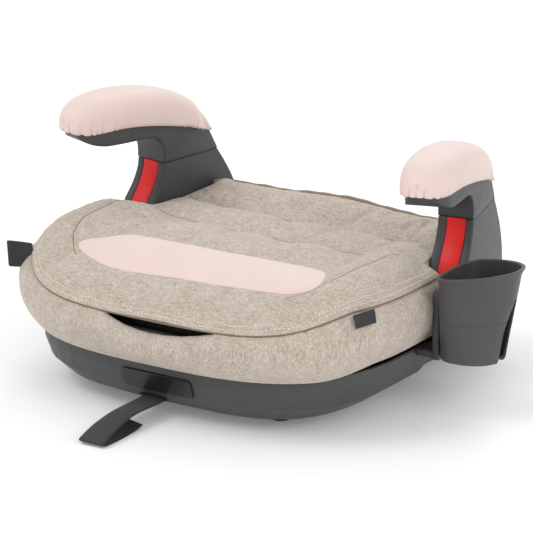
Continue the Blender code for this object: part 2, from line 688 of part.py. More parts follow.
def build_connector(side, word):
    """Square tube with an open rear mouth for the anchor bar and a window for the release button."""
    x = side * ANCHOR_SPACING / 2
    half_w, half_h = ARM_TUBE_WIDTH / 2, ARM_TUBE_HEIGHT / 2
    wall = ARM_TUBE_WALL
    front_y, rear_y = 0.020, 0.1700
    tube = box(word + "_connector_arm", (x - half_w, front_y, ANCHOR_Z - half_h),
               (x + half_w, rear_y, ANCHOR_Z + half_h), "steel")
    hollow = box(word + "_arm_hollow", (x - half_w + wall, front_y - 0.01, ANCHOR_Z - half_h + wall),
                 (x + half_w - wall, rear_y + 0.01, ANCHOR_Z + half_h - wall), None)
    mouth = box(word + "_mouth", (x - 0.02, rear_y - 0.0125, ANCHOR_Z - 0.0035),
                (x + 0.02, rear_y + 0.01, ANCHOR_Z + 0.0035), None)
    window = box(word + "_button_window", (x - 0.0048, BUTTON_Y - BUTTON_TRAVEL - 0.0025, ANCHOR_Z + 0.005),
                 (x + 0.0048, BUTTON_Y + 0.0165, ANCHOR_Z + 0.02), None)
    for tool in (hollow, mouth, window):
        boolean(tube, tool, "DIFFERENCE")
    pin_end = half_w - wall - GAP
    round_pin = disc((JAW_PIN_Y, JAW_PIN_Z), JAW_PIN_RADIUS, 12)
    prism(word + "_jaw_pin", round_pin, "X", x - pin_end, x + pin_end, "steel")
    jaw = prism(word + "_jaw", JAW_OUTLINE, "X", -JAW_HALF_WIDTH, JAW_HALF_WIDTH, "steel")
    bore = prism(word + "_jaw_bore", disc((0.0, 0.0), JAW_PIN_RADIUS + GAP, 12), "X", -0.02, 0.02, None)
    for obj in (jaw, bore):
        obj.location = (x, JAW_PIN_Y, JAW_PIN_Z)
    boolean(jaw, bore, "DIFFERENCE")
    low_z = ANCHOR_Z + 0.0040
    stem = half_h - 0.0028
    cap = stem + 0.0028
    outline = [(0.0, 0.0), (0.0140, 0.0), (0.0140, stem), (0.0155, stem), (0.0155, cap), (-0.0035, cap),
               (-0.0035, stem), (0.0, stem)]
    button = prism(word + "_release_button", outline, "X", -0.0040, 0.0040, "red_plastic")
    button.location = (x, BUTTON_Y, low_z)


RACK_FRONT_Y, RACK_REAR_Y = -0.0780, 0.0296
RACK_FLOOR_Z, RACK_ROOT_Z, RACK_TIP_Z = 0.0190, 0.0225, 0.0262


def build_carriage():
    """Cross bar that makes both connector arms slide together, and the toothed rack that locks them."""
    inner = ANCHOR_SPACING / 2 - ARM_TUBE_WIDTH / 2 - GAP
    bar = box("cross_bar", (-inner, RACK_REAR_Y + GAP, ANCHOR_Z - 0.0060),
              (inner, 0.0460, ANCHOR_Z + 0.0060), "steel")
    add_bevel(bar, 0.0015, 1)
    lug_z = RACK_ROOT_Z + 0.012
    teeth = [(RACK_FRONT_Y, RACK_FLOOR_Z), (RACK_REAR_Y, RACK_FLOOR_Z), (RACK_REAR_Y, lug_z),
             (RACK_REAR_Y - 0.006, lug_z), (RACK_REAR_Y - 0.006, RACK_ROOT_Z)]
    y = RACK_REAR_Y - 0.008
    while y - RACK_PITCH > RACK_FRONT_Y:
        teeth += [(y, RACK_ROOT_Z), (y - 0.002, RACK_TIP_Z)]
        teeth += [(y - 0.005, RACK_TIP_Z), (y - 0.007, RACK_ROOT_Z)]
        y -= RACK_PITCH
    teeth.append((RACK_FRONT_Y, RACK_ROOT_Z))
    prism("ratchet_rack", teeth, "X", -0.0070, 0.0070, "steel")


def build_rails():
    """Fixed channels that the connector arms slide in."""
    for side, word in ((-1, "left"), (1, "right")):
        x = side * ANCHOR_SPACING / 2
        top_z = ANCHOR_Z - ARM_TUBE_HEIGHT / 2 - GAP
        low_x, high_x = sorted((x - side * 0.0085, x + side * 0.0010))
        box(word + "_guide_rail", (low_x, 0.030, 0.0215), (high_x, 0.115, top_z), "charcoal_plastic")


PAWL_OUTLINE = [(-0.0060, -0.0045), (0.0205, -0.0040), (0.0220, -0.0108), (0.0242, -0.0108),
                (0.0272, -0.0030), (0.0060, 0.0050), (-0.0060, 0.0050), (-0.0270, 0.0030), (-0.0270, -0.0010)]
PAWL_PIN_RADIUS = 0.0020
PAWL_LIFT = math.radians(8.8)   # the outline is the locked lever, placed lifted clear


def build_pawl():
    """Lever that drops into the rack, its pin and the bracket that carries the pin."""
    low_z = FOOT_HEIGHT + BASE_WALL + GAP
    top_z = PAWL_PIN_Z + 0.006
    outline = [(PAWL_PIN_Y - 0.010, low_z), (PAWL_PIN_Y + 0.010, low_z), (PAWL_PIN_Y + 0.006, top_z),
               (PAWL_PIN_Y - 0.006, top_z)]
    bracket = prism("pawl_bracket", outline, "X", -0.0135, 0.0135, "charcoal_plastic")
    gap = box("bracket_gap", (-0.0085, PAWL_PIN_Y - 0.02, 0.0115), (0.0085, PAWL_PIN_Y + 0.02, 0.06), None)
    round_bore = disc((PAWL_PIN_Y, PAWL_PIN_Z), PAWL_PIN_RADIUS + GAP, 12)
    bore = prism("bracket_bore", round_bore, "X", -0.03, 0.03, None)
    boolean(bracket, gap, "DIFFERENCE")
    boolean(bracket, bore, "DIFFERENCE")
    prism("pawl_pin", disc((PAWL_PIN_Y, PAWL_PIN_Z), PAWL_PIN_RADIUS, 12), "X", -0.0150, 0.0150, "steel")
    cos_lift, sin_lift = math.cos(PAWL_LIFT), math.sin(PAWL_LIFT)
    lifted = [(y * cos_lift - z * sin_lift, y * sin_lift + z * cos_lift) for y, z in PAWL_OUTLINE]
    pawl = prism("lock_pawl", lifted, "X", -0.0060, 0.0060, "red_plastic")
    hole = prism("pawl_hole", disc((0.0, 0.0), PAWL_PIN_RADIUS + GAP, 12), "X", -0.03, 0.03, None)
    for obj in (pawl, hole):
        obj.location = (0.0, PAWL_PIN_Y, PAWL_PIN_Z)
    boolean(pawl, hole, "DIFFERENCE")


def build_spring():
    """Coil between the pawl's rear end and the underside of the seat shell."""
    coil_radius, wire_radius, turns, sides = 0.0036, 0.0006, 5, 6
    low_z, high_z = PAWL_PIN_Z + 0.0062, SHELL_Z - 0.0015
    steps = turns * 9
    up = Vector((0.0, 0.0, 1.0))
    rings = []
    for i in range(steps + 1):
        turn = 2 * math.pi * turns * i / steps
        outward = Vector((math.cos(turn), math.sin(turn), 0.0))
        centre = Vector((0.0, PAWL_PIN_Y + 0.016, mix(low_z, high_z, i / steps))) + coil_radius * outward
        ring = []
        for k in range(sides):
            around = 2 * math.pi * k / sides
            ring.append(tuple(centre + wire_radius * (outward * math.cos(around) + up * math.sin(around))))
        rings.append(ring)
    loft("pawl_spring", rings, "steel")


STRAP_PATH = ((-0.0470, 0.0345), (-0.0540, 0.0320), (-0.0860, 0.0310), (-0.0960, 0.0260),
              (-0.1080, 0.0165), (-0.1300, STRAP_Z), (-0.1760, STRAP_Z), (-0.1950, 0.0100),
              (-0.2100, 0.0040), (-0.2300, 0.0016), (-0.2750, 0.0016))


def build_pull_strap():
    """Webbing from the pawl's lever, out through the front slot and down to the floor."""
    upper, lower = [], []
    last = len(STRAP_PATH) - 1
    for i, point in enumerate(STRAP_PATH):
        along = Vector(STRAP_PATH[max(i - 1, 0)]) - Vector(STRAP_PATH[min(i + 1, last)])
        normal = Vector((-along.y, along.x)).normalized() * STRAP_THICKNESS / 2
        upper.append(tuple(Vector(point) + normal))
        lower.append(tuple(Vector(point) - normal))
    half = STRAP_WIDTH / 2
    prism("pull_strap", upper + list(reversed(lower)), "X", STRAP_X - half, STRAP_X + half, "black_webbing")


def main():
    clear_scene()
    build_base_shell()
    build_badge_plate()
    build_feet_and_screws()
    build_seat_shell()
    build_foam_liner()
    build_comfort_foam()
    build_cover_top()
    build_cover_band()
    build_insert_panel()
    build_back_piping()
    build_tags()
    for side, word in ((-1, "left"), (1, "right")):
        build_post(side, word)
        build_arm(side, word)
        build_pad(side, word)
        build_connector(side, word)
    build_cup_holder()
    build_cup_bracket()
    build_carriage()
    build_rails()
    build_pawl()
    build_spring()
    build_pull_strap()


main()
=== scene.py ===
"""Looks of the booster seat: a simulated quilted cover, gathered arm pads, moulded plastics and webbing
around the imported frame. Metres, +X to the cup holder side, +Y to the rear, +Z up."""
import bpy
import bmesh
import json
import math
import numpy as np
from mathutils import Matrix, Vector


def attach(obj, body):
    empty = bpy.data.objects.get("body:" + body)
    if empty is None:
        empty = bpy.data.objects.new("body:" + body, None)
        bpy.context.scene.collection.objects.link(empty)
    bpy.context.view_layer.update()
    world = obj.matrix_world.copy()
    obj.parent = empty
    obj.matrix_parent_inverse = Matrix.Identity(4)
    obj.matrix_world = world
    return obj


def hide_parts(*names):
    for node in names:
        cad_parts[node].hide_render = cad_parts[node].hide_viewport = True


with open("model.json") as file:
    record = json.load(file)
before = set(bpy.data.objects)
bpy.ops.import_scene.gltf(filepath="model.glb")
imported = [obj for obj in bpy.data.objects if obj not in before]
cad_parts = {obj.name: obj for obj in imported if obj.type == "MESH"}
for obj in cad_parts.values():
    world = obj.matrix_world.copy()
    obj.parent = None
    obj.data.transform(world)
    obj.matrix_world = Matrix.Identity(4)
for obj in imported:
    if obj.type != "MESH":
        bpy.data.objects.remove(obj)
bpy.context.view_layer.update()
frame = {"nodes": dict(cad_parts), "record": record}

# ---------------------------------------------------------------- dimensions shared with the frame
WIDEST_Y = -0.02
SEAT_HALF_WIDTH = 0.198
SEAT_FRONT_Y = -0.202
SEAT_REAR_Y = 0.151
SEAT_EXPONENT = 2.9
POST_X, POST_Y, POST_TOE = 0.1610, 0.052, math.radians(8.5)
POST_WIDTH, POST_TAPER, POST_GAP = 0.038, 0.11, 0.0022
NOTCH_Y = 0.013
PARTING_Z = 0.1638
GUIDE_WIDTH, GUIDE_DEPTH = 0.0195, 0.0022
CUP_X, CUP_Y, CUP_FLOOR_Z, CUP_RIM_Z, CUP_RIM_SLOPE = 0.2145, -0.0060, 0.0560, 0.1390, 0.17


# ---------------------------------------------------------------- small helpers
def mix(low, high, amount):
    return low + (high - low) * amount


def step(low, high, value):
    t = np.clip((value - low) / (high - low), 0.0, 1.0)
    return t * t * (3 - 2 * t)


def new_object(name, verts, faces, smooth=True):
    mesh = bpy.data.meshes.new(name)
    mesh.from_pydata([tuple(v) for v in verts], [], faces)
    mesh.validate()
    bm = bmesh.new()
    bm.from_mesh(mesh)
    bmesh.ops.recalc_face_normals(bm, faces=bm.faces)
    bm.to_mesh(mesh)
    bm.free()
    if smooth:
        mesh.shade_smooth()
    obj = bpy.data.objects.new(name, mesh)
    bpy.context.scene.collection.objects.link(obj)
    return obj


def grid_faces(rows, cols, wrap=False):
    faces = []
    for i in range(rows - 1):
        for j in range(cols if wrap else cols - 1):
            k = (j + 1) % cols
            faces.append((i * cols + j, i * cols + k, (i + 1) * cols + k, (i + 1) * cols + j))
    return faces


def loft(name, rings, caps=True):
    rings = [np.asarray(r, float) for r in rings]
    count = len(rings[0])
    verts = np.concatenate(rings)
    faces = grid_faces(len(rings), count, True)
    if caps:
        faces.append(tuple(range(count)))
        faces.append(tuple(reversed(range((len(rings) - 1) * count, len(rings) * count))))
    return new_object(name, verts, faces)


def modifier(obj, kind, **settings):
    mod = obj.modifiers.new(kind.title(), kind)
    for key, value in settings.items():
        setattr(mod, key, value)
    return mod


def apply_all(obj):
    """Bake the modifiers into the mesh."""
    graph = bpy.context.evaluated_depsgraph_get()
    graph.update()
    mesh = bpy.data.meshes.new_from_object(obj.evaluated_get(graph))
    obj.modifiers.clear()
    obj.data = mesh
    return obj


def points(obj):
    co = np.zeros(len(obj.data.vertices) * 3)
    obj.data.vertices.foreach_get("co", co)
    return co.reshape(-1, 3)


def set_points(obj, co):
    obj.data.vertices.foreach_set("co", np.asarray(co, float).ravel())
    obj.data.update()


def normals(obj):
    no = np.zeros(len(obj.data.vertices) * 3)
    obj.data.vertex_normals.foreach_get("vector", no)
    return no.reshape(-1, 3)


def spline(knots, per_span=8):
    """Smooth curve through the knots (Catmull-Rom), open ended."""
    k = np.asarray(knots, float)
    k = np.vstack([2 * k[0] - k[1], k, 2 * k[-1] - k[-2]])
    out = []
    for a, b, c, d in zip(k, k[1:], k[2:], k[3:]):
        for i in range(per_span):
            t = i / per_span
            out.append(0.5 * (2 * b + (c - a) * t + (2 * a - 5 * b + 4 * c - d) * t * t
                              + (3 * b - a - 3 * c + d) * t ** 3))
    out.append(k[-2])
    return np.array(out)


def resample(path, count, closed=False):
    path = np.asarray(path, float)
    if closed:
        path = np.vstack([path, path[:1]])
    step_length = np.linalg.norm(np.diff(path, axis=0), axis=1)
    run = np.concatenate([[0], np.cumsum(step_length)])
    at = np.linspace(0, run[-1], count + 1)[:-1] if closed else np.linspace(0, run[-1], count)
    return np.stack([np.interp(at, run, path[:, i]) for i in range(path.shape[1])], 1)


def round_corners(path, passes):
    """Corner cutting on an open path that keeps its ends."""
    path = np.asarray(path, float)
    for _ in range(passes):
        a, b = path[:-1], path[1:]
        inner = np.stack([a * 0.75 + b * 0.25, a * 0.25 + b * 0.75], 1).reshape(-1, path.shape[1])
        path = np.vstack([path[:1], inner[1:-1], path[-1:]])
    return path


# ---------------------------------------------------------------- materials
def nodes_of(name):
    mat = bpy.data.materials.new(name)
    mat.use_nodes = True
    tree = mat.node_tree
    return mat, tree, tree.nodes["Principled BSDF"]


class Graph:
    """Short ways to add and join shader nodes."""

    def __init__(self, tree):
        self.tree = tree
        self.coords = tree.nodes.new("ShaderNodeTexCoord").outputs["Object"]

    def node(self, kind, inputs=None, **settings):
        made = self.tree.nodes.new(kind)
        for key, value in settings.items():
            setattr(made, key, value)
        for key, value in (inputs or {}).items():
            socket = made.inputs[key]
            if isinstance(value, bpy.types.NodeSocket):
                self.tree.links.new(value, socket)
            else:
                socket.default_value = value
        return made

    def noise(self, scale, detail=3.0, roughness=0.55, stretch=None):
        vector = self.coords
        if stretch:
            vector = self.node("ShaderNodeMapping", {"Vector": self.coords, "Scale": stretch}).outputs["Vector"]
        return self.node("ShaderNodeTexNoise", {"Vector": vector, "Scale": scale, "Detail": detail,
                                                "Roughness": roughness}).outputs["Fac"]

    def ramp(self, value, stops):
        ramp = self.node("ShaderNodeValToRGB", {"Fac": value})
        elements = ramp.color_ramp.elements
        while len(elements) < len(stops):
            elements.new(0.5)
        for element, (place, color) in zip(elements, stops):
            element.position = place
            element.color = (*color, 1.0) if len(color) == 3 else color
        return ramp.outputs["Color"]

    def math(self, operation, a, b=0.0, clamp=False):
        return self.node("ShaderNodeMath", {0: a, 1: b}, operation=operation, use_clamp=clamp).outputs[0]

    def blend(self, amount, a, b, kind="MIX"):
        made = self.node("ShaderNodeMix", data_type="RGBA", blend_type=kind)
        for socket, value in ((made.inputs[0], amount), (made.inputs[6], a), (made.inputs[7], b)):
            if isinstance(value, bpy.types.NodeSocket):
                self.tree.links.new(value, socket)
            else:
                socket.default_value = value if isinstance(value, float) else (*value, 1.0)
        return made.outputs[2]

    def bump(self, height, strength, distance, normal=None):
        inputs = {"Height": height, "Strength": strength, "Distance": distance}
        if normal is not None:
            inputs["Normal"] = normal
        return self.node("ShaderNodeBump", inputs).outputs["Normal"]


def plastic(name, color, roughness, grain=0.10, edge=0.35, scale=2600.0, soft=0.0012):
    """Moulded plastic: fine spark-eroded grain, faint cloudy sheen and a painted highlight that lightens the convex
    edges.
    """
    mat, tree, shader = nodes_of(name)
    g = Graph(tree)
    cloud = g.noise(38.0, 4.0)
    geometry = g.node("ShaderNodeNewGeometry")
    # painted highlight: convex edges (high pointiness) are lightened in the base colour, broken up by noise and scaled
    # by edge
    edge_highlight = g.ramp(geometry.outputs["Pointiness"], [(0.50, (0, 0, 0)), (0.60, (1, 1, 1))])
    edge_highlight = g.math("MULTIPLY", edge_highlight, g.math("MULTIPLY", g.noise(160.0, 2.0), edge))
    base = g.blend(cloud, tuple(c * 0.88 for c in color), tuple(min(c * 1.12, 1.0) for c in color))
    lighter = tuple(min(c * 1.7 + 0.012, 1.0) for c in color)
    tree.links.new(g.blend(edge_highlight, base, lighter), shader.inputs["Base Color"])
    rough = g.math("ADD", roughness - 0.05, g.math("MULTIPLY", g.noise(90.0, 2.0), 0.10))
    tree.links.new(rough, shader.inputs["Roughness"])
    rounded = g.node("ShaderNodeBevel", {"Radius": soft})
    rounded.samples = 8
    bump = g.bump(g.noise(scale, 2.0), grain, 0.0002, rounded.outputs["Normal"])
    tree.links.new(bump, shader.inputs["Normal"])
    return mat


MELANGE_DARK, MELANGE_MID, MELANGE_LIGHT = (0.33, 0.265, 0.210), (0.515, 0.440, 0.370), (0.68, 0.615, 0.545)


def melange(name, along):
    """Woven melange: crossed yarns with uneven colour, lighter flecks, bump from the weave and a soft sheen."""
    mat, tree, shader = nodes_of(name)
    g = Graph(tree)
    stretch_a = (1.0, 1.0, 0.10) if along == "upright" else (1.0, 0.16, 1.0)
    stretch_b = (0.20, 0.20, 1.6) if along == "upright" else (0.16, 1.0, 1.0)
    warp = g.noise(1050.0, 2.0, 0.6, stretch_a)
    weft = g.noise(1050.0, 2.0, 0.6, stretch_b)
    yarn = g.math("ADD", g.math("MULTIPLY", warp, 0.62 if along == "upright" else 0.5),
                  g.math("MULTIPLY", weft, 0.38 if along == "upright" else 0.5))
    patch = g.noise(70.0, 3.0, 0.6, (1.0, 1.0, 0.5))
    shade = g.math("ADD", g.math("MULTIPLY", yarn, 0.86), g.math("MULTIPLY", patch, 0.14))
    color = g.ramp(shade, [(0.36, MELANGE_DARK), (0.50, MELANGE_MID), (0.64, MELANGE_LIGHT)])
    geometry = g.node("ShaderNodeNewGeometry")
    # painted shade: concave creases and seam valleys (low pointiness) are darkened towards brown
    crease_shade = g.ramp(geometry.outputs["Pointiness"], [(0.40, (0.62, 0.50, 0.40)), (0.50, (1, 1, 1))])
    color = g.blend(0.75, color, crease_shade, "MULTIPLY")
    tree.links.new(color, shader.inputs["Base Color"])
    shader.inputs["Roughness"].default_value = 0.92
    shader.inputs["Sheen Weight"].default_value = 0.30
    shader.inputs["Sheen Roughness"].default_value = 0.5
    shader.inputs["Sheen Tint"].default_value = (1.0, 0.93, 0.86, 1.0)
    fibre = g.noise(2300.0, 2.0, 0.6)
    coarse = g.bump(yarn, 0.55, 0.0006)
    tree.links.new(g.bump(fibre, 0.25, 0.0003, coarse), shader.inputs["Normal"])
    return mat


def smooth_cloth(name, color, weave=0.10, sheen=0.45):
    """Fine smooth knit: a barely visible weave, soft colour drift and a satin sheen."""
    mat, tree, shader = nodes_of(name)
    g = Graph(tree)
    drift = g.noise(22.0, 3.0)
    base = g.blend(drift, tuple(c * 0.965 for c in color), tuple(min(c * 1.03, 1.0) for c in color))
    threads = g.math("ADD", g.noise(1500.0, 1.0, 0.5, (1.0, 0.3, 1.0)), g.noise(1500.0, 1.0, 0.5, (0.3, 1.0, 1.0)))
    fleck = g.math("MULTIPLY", g.math("SUBTRACT", threads, 1.0), 0.5, True)
    tree.links.new(g.blend(fleck, base, tuple(c * 0.85 for c in color)), shader.inputs["Base Color"])
    shader.inputs["Roughness"].default_value = 0.62
    shader.inputs["Sheen Weight"].default_value = sheen
    shader.inputs["Sheen Roughness"].default_value = 0.4
    tree.links.new(g.bump(threads, weave, 0.0003), shader.inputs["Normal"])
    return mat


def webbing(name, color, ribs=1500.0, roughness=0.5):
    """Woven tape: close cross ribs, a faint herringbone and a satin sheen."""
    mat, tree, shader = nodes_of(name)
    g = Graph(tree)
    wave = g.node("ShaderNodeTexWave", {"Vector": g.coords, "Scale": ribs / 6.28, "Distortion": 0.6,
                                        "Detail": 1.0}, bands_direction="DIAGONAL").outputs["Fac"]
    cross = g.node("ShaderNodeTexWave", {"Vector": g.coords, "Scale": ribs / 6.28, "Distortion": 0.6,
                                         "Detail": 1.0}, bands_direction="X").outputs["Fac"]
    height = g.math("MULTIPLY", wave, cross)
    tint = g.blend(height, tuple(c * 0.7 for c in color), tuple(min(c * 1.7 + 0.004, 1.0) for c in color))
    tree.links.new(tint, shader.inputs["Base Color"])
    shader.inputs["Roughness"].default_value = roughness
    shader.inputs["Sheen Weight"].default_value = 0.25
    tree.links.new(g.bump(height, 0.4, 0.0004), shader.inputs["Normal"])
    return mat


def foam(name, color, cell):
    mat, tree, shader = nodes_of(name)
    g = Graph(tree)
    cells = g.node("ShaderNodeTexVoronoi", {"Vector": g.coords, "Scale": cell}).outputs["Distance"]
    tree.links.new(g.blend(cells, tuple(c * 0.8 for c in color), color), shader.inputs["Base Color"])
    shader.inputs["Roughness"].default_value = 0.95
    tree.links.new(g.bump(cells, 0.5, 0.0006), shader.inputs["Normal"])
    return mat


def metal(name):
    mat, tree, shader = nodes_of(name)
    g = Graph(tree)
    brushed = g.noise(900.0, 3.0, 0.6, (1.0, 0.03, 1.0))
    tree.links.new(g.blend(brushed, (0.42, 0.42, 0.44), (0.62, 0.62, 0.64)), shader.inputs["Base Color"])
    shader.inputs["Metallic"].default_value = 1.0
    tree.links.new(g.math("ADD", 0.24, g.math("MULTIPLY", brushed, 0.18)), shader.inputs["Roughness"])
    tree.links.new(g.bump(brushed, 0.15, 0.0002), shader.inputs["Normal"])
    return mat


CHARCOAL = plastic("charcoal_plastic", (0.052, 0.052, 0.055), 0.50, soft=0.004)
CHARCOAL_CUP = plastic("cup_plastic", (0.062, 0.062, 0.065), 0.46)
BLACK = plastic("black_plastic", (0.012, 0.012, 0.013), 0.22, 0.03, 0.15)
# painted shadow: near-black plastic for the sheet behind the front slit
PAINTED_SHADOW = plastic("painted_shadow_plastic", (0.004, 0.004, 0.004), 0.80, 0.03, 0.05)
RED = plastic("red_plastic", (0.80, 0.003, 0.002), 0.48, 0.03, 0.05)
TOP_CLOTH = melange("melange_top", "flat")
SIDE_CLOTH = melange("melange_side", "upright")
PINK = smooth_cloth("pink_cloth", (0.80, 0.635, 0.585))
PIPING = webbing("piping_tape", (0.30, 0.21, 0.145), 2600.0, 0.85)
WEBBING = webbing("black_webbing", (0.010, 0.010, 0.011))
THREAD = smooth_cloth("cream_thread", (0.84, 0.75, 0.64), 0.3, 0.2)
SEAM_THREAD = smooth_cloth("seam_thread", (0.24, 0.165, 0.110), 0.3, 0.1)
WHITE_FOAM = foam("white_foam", (0.80, 0.80, 0.78), 260.0)
GREY_FOAM = foam("grey_foam", (0.30, 0.30, 0.32), 900.0)
STEEL = metal("brushed_steel")
RUBBER = plastic("rubber", (0.018, 0.018, 0.018), 0.8, 0.25, 0.2, 1200.0)

SLOT_MATERIALS = {
    "charcoal_plastic": CHARCOAL, "black_plastic": BLACK, "red_plastic": RED, "melange_fabric": SIDE_CLOTH,
    "pink_fabric": PINK, "piping_fabric": PIPING, "black_webbing": WEBBING, "white_foam": WHITE_FOAM,
    "grey_foam": GREY_FOAM, "steel": STEEL, "rubber": RUBBER,
}


def paint(obj, material):
    obj.data.materials.clear()
    obj.data.materials.append(material)


def dress_cad_nodes():
    for part in frame["record"]["subparts"]:
        paint(frame["nodes"][part["node"]], SLOT_MATERIALS[part["material_slot"]])


def place(obj, material, slot, body, *nodes):
    """Paint a new piece, let it ride on a body and let it stand for CAD nodes."""
    paint(obj, material)
    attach(obj, body)
    if nodes:
        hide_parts(*nodes)
    return obj


# ---------------------------------------------------------------- cover outline
def post_face_x(y):
    return POST_X - (y - POST_Y) * math.tan(POST_TOE)


def half_outline():
    """Right half of the seam line, from the front middle to the rear middle."""
    depth = WIDEST_Y - SEAT_FRONT_Y
    turns = np.linspace(0, math.pi / 2, 90)
    x = SEAT_HALF_WIDTH * np.sin(turns) ** (2 / SEAT_EXPONENT)
    y = WIDEST_Y - depth * np.clip(np.cos(turns), 0, 1) ** (2 / SEAT_EXPONENT)
    front = np.stack([x, y], 1)
    gap = POST_GAP
    rear_y, radius = SEAT_REAR_Y, 0.016
    corner_x = post_face_x(rear_y - radius) - gap - radius
    rest = [(SEAT_HALF_WIDTH, -0.010), (SEAT_HALF_WIDTH - 0.001, 0.004), (SEAT_HALF_WIDTH - 0.006, NOTCH_Y),
            (post_face_x(NOTCH_Y) - gap + 0.007, NOTCH_Y), (post_face_x(NOTCH_Y) - gap, NOTCH_Y + 0.007),
            (post_face_x(0.06) - gap, 0.06), (post_face_x(0.10) - gap, 0.10)]
    rest += [(corner_x + radius * math.cos(t), rear_y - radius + radius * math.sin(t))
             for t in np.linspace(0, math.pi / 2, 6)]
    rest += [(0.065, rear_y + 0.001), (0.0, rear_y + 0.002)]
    return np.vstack([front, round_corners(np.array(rest), 2)])


HALF = half_outline()
SIDE_COUNT = 230                   # samples on each half of the seam line
HALF_SAMPLES = resample(HALF, SIDE_COUNT)


def loop_points():
    """Whole seam line, clockwise seen from below: front middle, right side, rear, left side."""
    left = HALF_SAMPLES[1:-1][::-1] * np.array([-1.0, 1.0])
    return np.vstack([HALF_SAMPLES, left])


LOOP = loop_points()


def outward(loop):
    along = np.roll(loop, -1, 0) - np.roll(loop, 1, 0)
    out = np.stack([along[:, 1], -along[:, 0]], 1)
    return out / np.linalg.norm(out, axis=1, keepdims=True)


LOOP_OUT = outward(LOOP)


def seam_z(x, y):
    front = mix(0.1060, 0.1260, step(-0.20, -0.12, y))
    side = mix(front, 0.1245, step(0.0, 0.03, y))
    rear = 0.1262 + 0.0045 * (1 - step(0.0, 0.085, np.abs(x)))
    return mix(side, rear, step(0.10, 0.145, y))


# ---------------------------------------------------------------- cover top
SLIT_MIDDLE, SLIT_HALF, SLIT_DROP = 0.0140, 0.0620, 0.0115    # hand opening at the front seam
CROWN = np.array([(-0.20, 0.1190), (-0.165, 0.1290), (-0.135, 0.1345), (-0.10, 0.1375), (-0.07, 0.1385),
                  (0.0, 0.1340), (0.02, 0.1320), (0.085, 0.1250), (0.120, 0.1290), (0.140, 0.1315),
                  (0.153, 0.1300)])
CROWN_FINE = spline(CROWN, 12)
BOLSTER_SEAM = np.array([(0.119, -0.1450), (0.132, -0.131), (0.1445, -0.112), (0.1525, -0.089), (0.1560, -0.055),
                         (0.1570, -0.030), (0.1590, -0.010), (0.1635, 0.008)])
BOLSTER_FINE = spline(BOLSTER_SEAM, 10)
PANEL_RIGHT = np.array([(0.0, -0.1490), (0.039, -0.1475), (0.078, -0.1430), (0.105, -0.1390), (0.1225, -0.1345),
                        (0.1360, -0.1260), (0.1400, -0.1160), (0.1320, -0.0950), (0.1225, -0.0800),
                        (0.1150, -0.0735), (0.1050, -0.0705), (0.050, -0.0725), (0.0, -0.0745)])
PANEL_LEFT = np.array([(-0.050, -0.0755), (-0.0900, -0.0755), (-0.1020, -0.0790), (-0.1135, -0.0910),
                       (-0.1245, -0.1100), (-0.1310, -0.1225), (-0.1285, -0.1290), (-0.1165, -0.1370),
                       (-0.1000, -0.1460), (-0.080, -0.1535), (-0.050, -0.1545), (-0.025, -0.1515)])


def panel_outline(count=150):
    ring = np.vstack([PANEL_RIGHT, PANEL_LEFT, PANEL_RIGHT[:1]])
    return resample(round_corners(ring, 3)[:-1], count, True)


PANEL = panel_outline()


def distance_to(path, x, y):
    """Distance from points to a polyline."""
    best = np.full(x.shape, 1.0)
    for (x0, y0), (x1, y1) in zip(path[:-1], path[1:]):
        dx, dy = x1 - x0, y1 - y0
        t = np.clip(((x - x0) * dx + (y - y0) * dy) / (dx * dx + dy * dy + 1e-12), 0, 1)
        best = np.minimum(best, np.hypot(x - x0 - t * dx, y - y0 - t * dy))
    return best


def inside(path, x, y):
    result = np.zeros(x.shape, bool)
    for (x0, y0), (x1, y1) in zip(path, np.roll(path, -1, 0)):
        crosses = (y0 > y) != (y1 > y)
        with np.errstate(divide="ignore", invalid="ignore"):
            at = (x1 - x0) * (y - y0) / (y1 - y0) + x0
        result ^= crosses & (x < at)
    return result


def groove_rear(x):
    return 0.0865 + 0.10 * x * x


def groove_front(x):
    return 0.0060 + 0.60 * x * x


def plateau(x, y):
    height = np.interp(y, CROWN_FINE[:, 0], CROWN_FINE[:, 1])
    bolster = 0.0150 * step(0.110, 0.168, np.abs(x)) * step(-0.175, -0.12, y)
    bolster *= mix(1.0, 0.30, step(-0.005, 0.05, y))
    return height + bolster + 0.003 * step(0.09, 0.13, y) * (1 - step(0.0, 0.09, np.abs(x)))


def crease(distance, width, depth):
    """Sewn-down valley: sharp at the stitch line, soft towards the puffed cloth."""
    return depth * np.exp(-np.abs(distance) / width)


def top_fields(x, y):
    """Height of the top before the simulation, and how strongly each point is held."""
    edge = distance_to(np.vstack([LOOP, LOOP[:1]]), x, y)
    rear = step(0.10, 0.14, y)
    width = mix(0.050, 0.016, rear)
    t = np.clip(edge / width, 0, 1)
    rise = 1 - (1 - t) ** mix(2.4, 2.0, rear)
    z = mix(seam_z(x, y), plateau(x, y), rise)
    lane = (1 - step(0.148, 0.158, np.abs(x)))
    to_rear = np.abs(y - groove_rear(x))
    to_front = np.where(np.abs(x) < 0.146, np.abs(y - groove_front(x)), 1.0)
    bolster_line = distance_to(BOLSTER_FINE, np.abs(x), y)
    panel_line = distance_to(np.vstack([PANEL, PANEL[:1]]), x, y)
    z -= crease(to_rear, 0.0070, 0.0046) * lane
    z -= crease(to_front, 0.0070, 0.0044) * (1 - step(0.132, 0.150, np.abs(x)))
    z -= crease(bolster_line, 0.0055, 0.0038) * step(-0.152, -0.13, y) * (1 - 0.7 * step(-0.055, -0.005, y))
    z -= crease(panel_line, 0.0035, 0.0014)
    held = np.clip(1 - edge / 0.0030, 0, 1)
    held = np.maximum(held, (to_rear < 0.0018) * (np.abs(x) < 0.150))
    held = np.maximum(held, (to_front < 0.0018) * (np.abs(x) < 0.142))
    held = np.maximum(held, (bolster_line < 0.0018) * 1.0)
    held = np.maximum(held, (panel_line < 0.0018) * 1.0)
    panel = inside(PANEL, x, y)
    return z, held, panel, edge


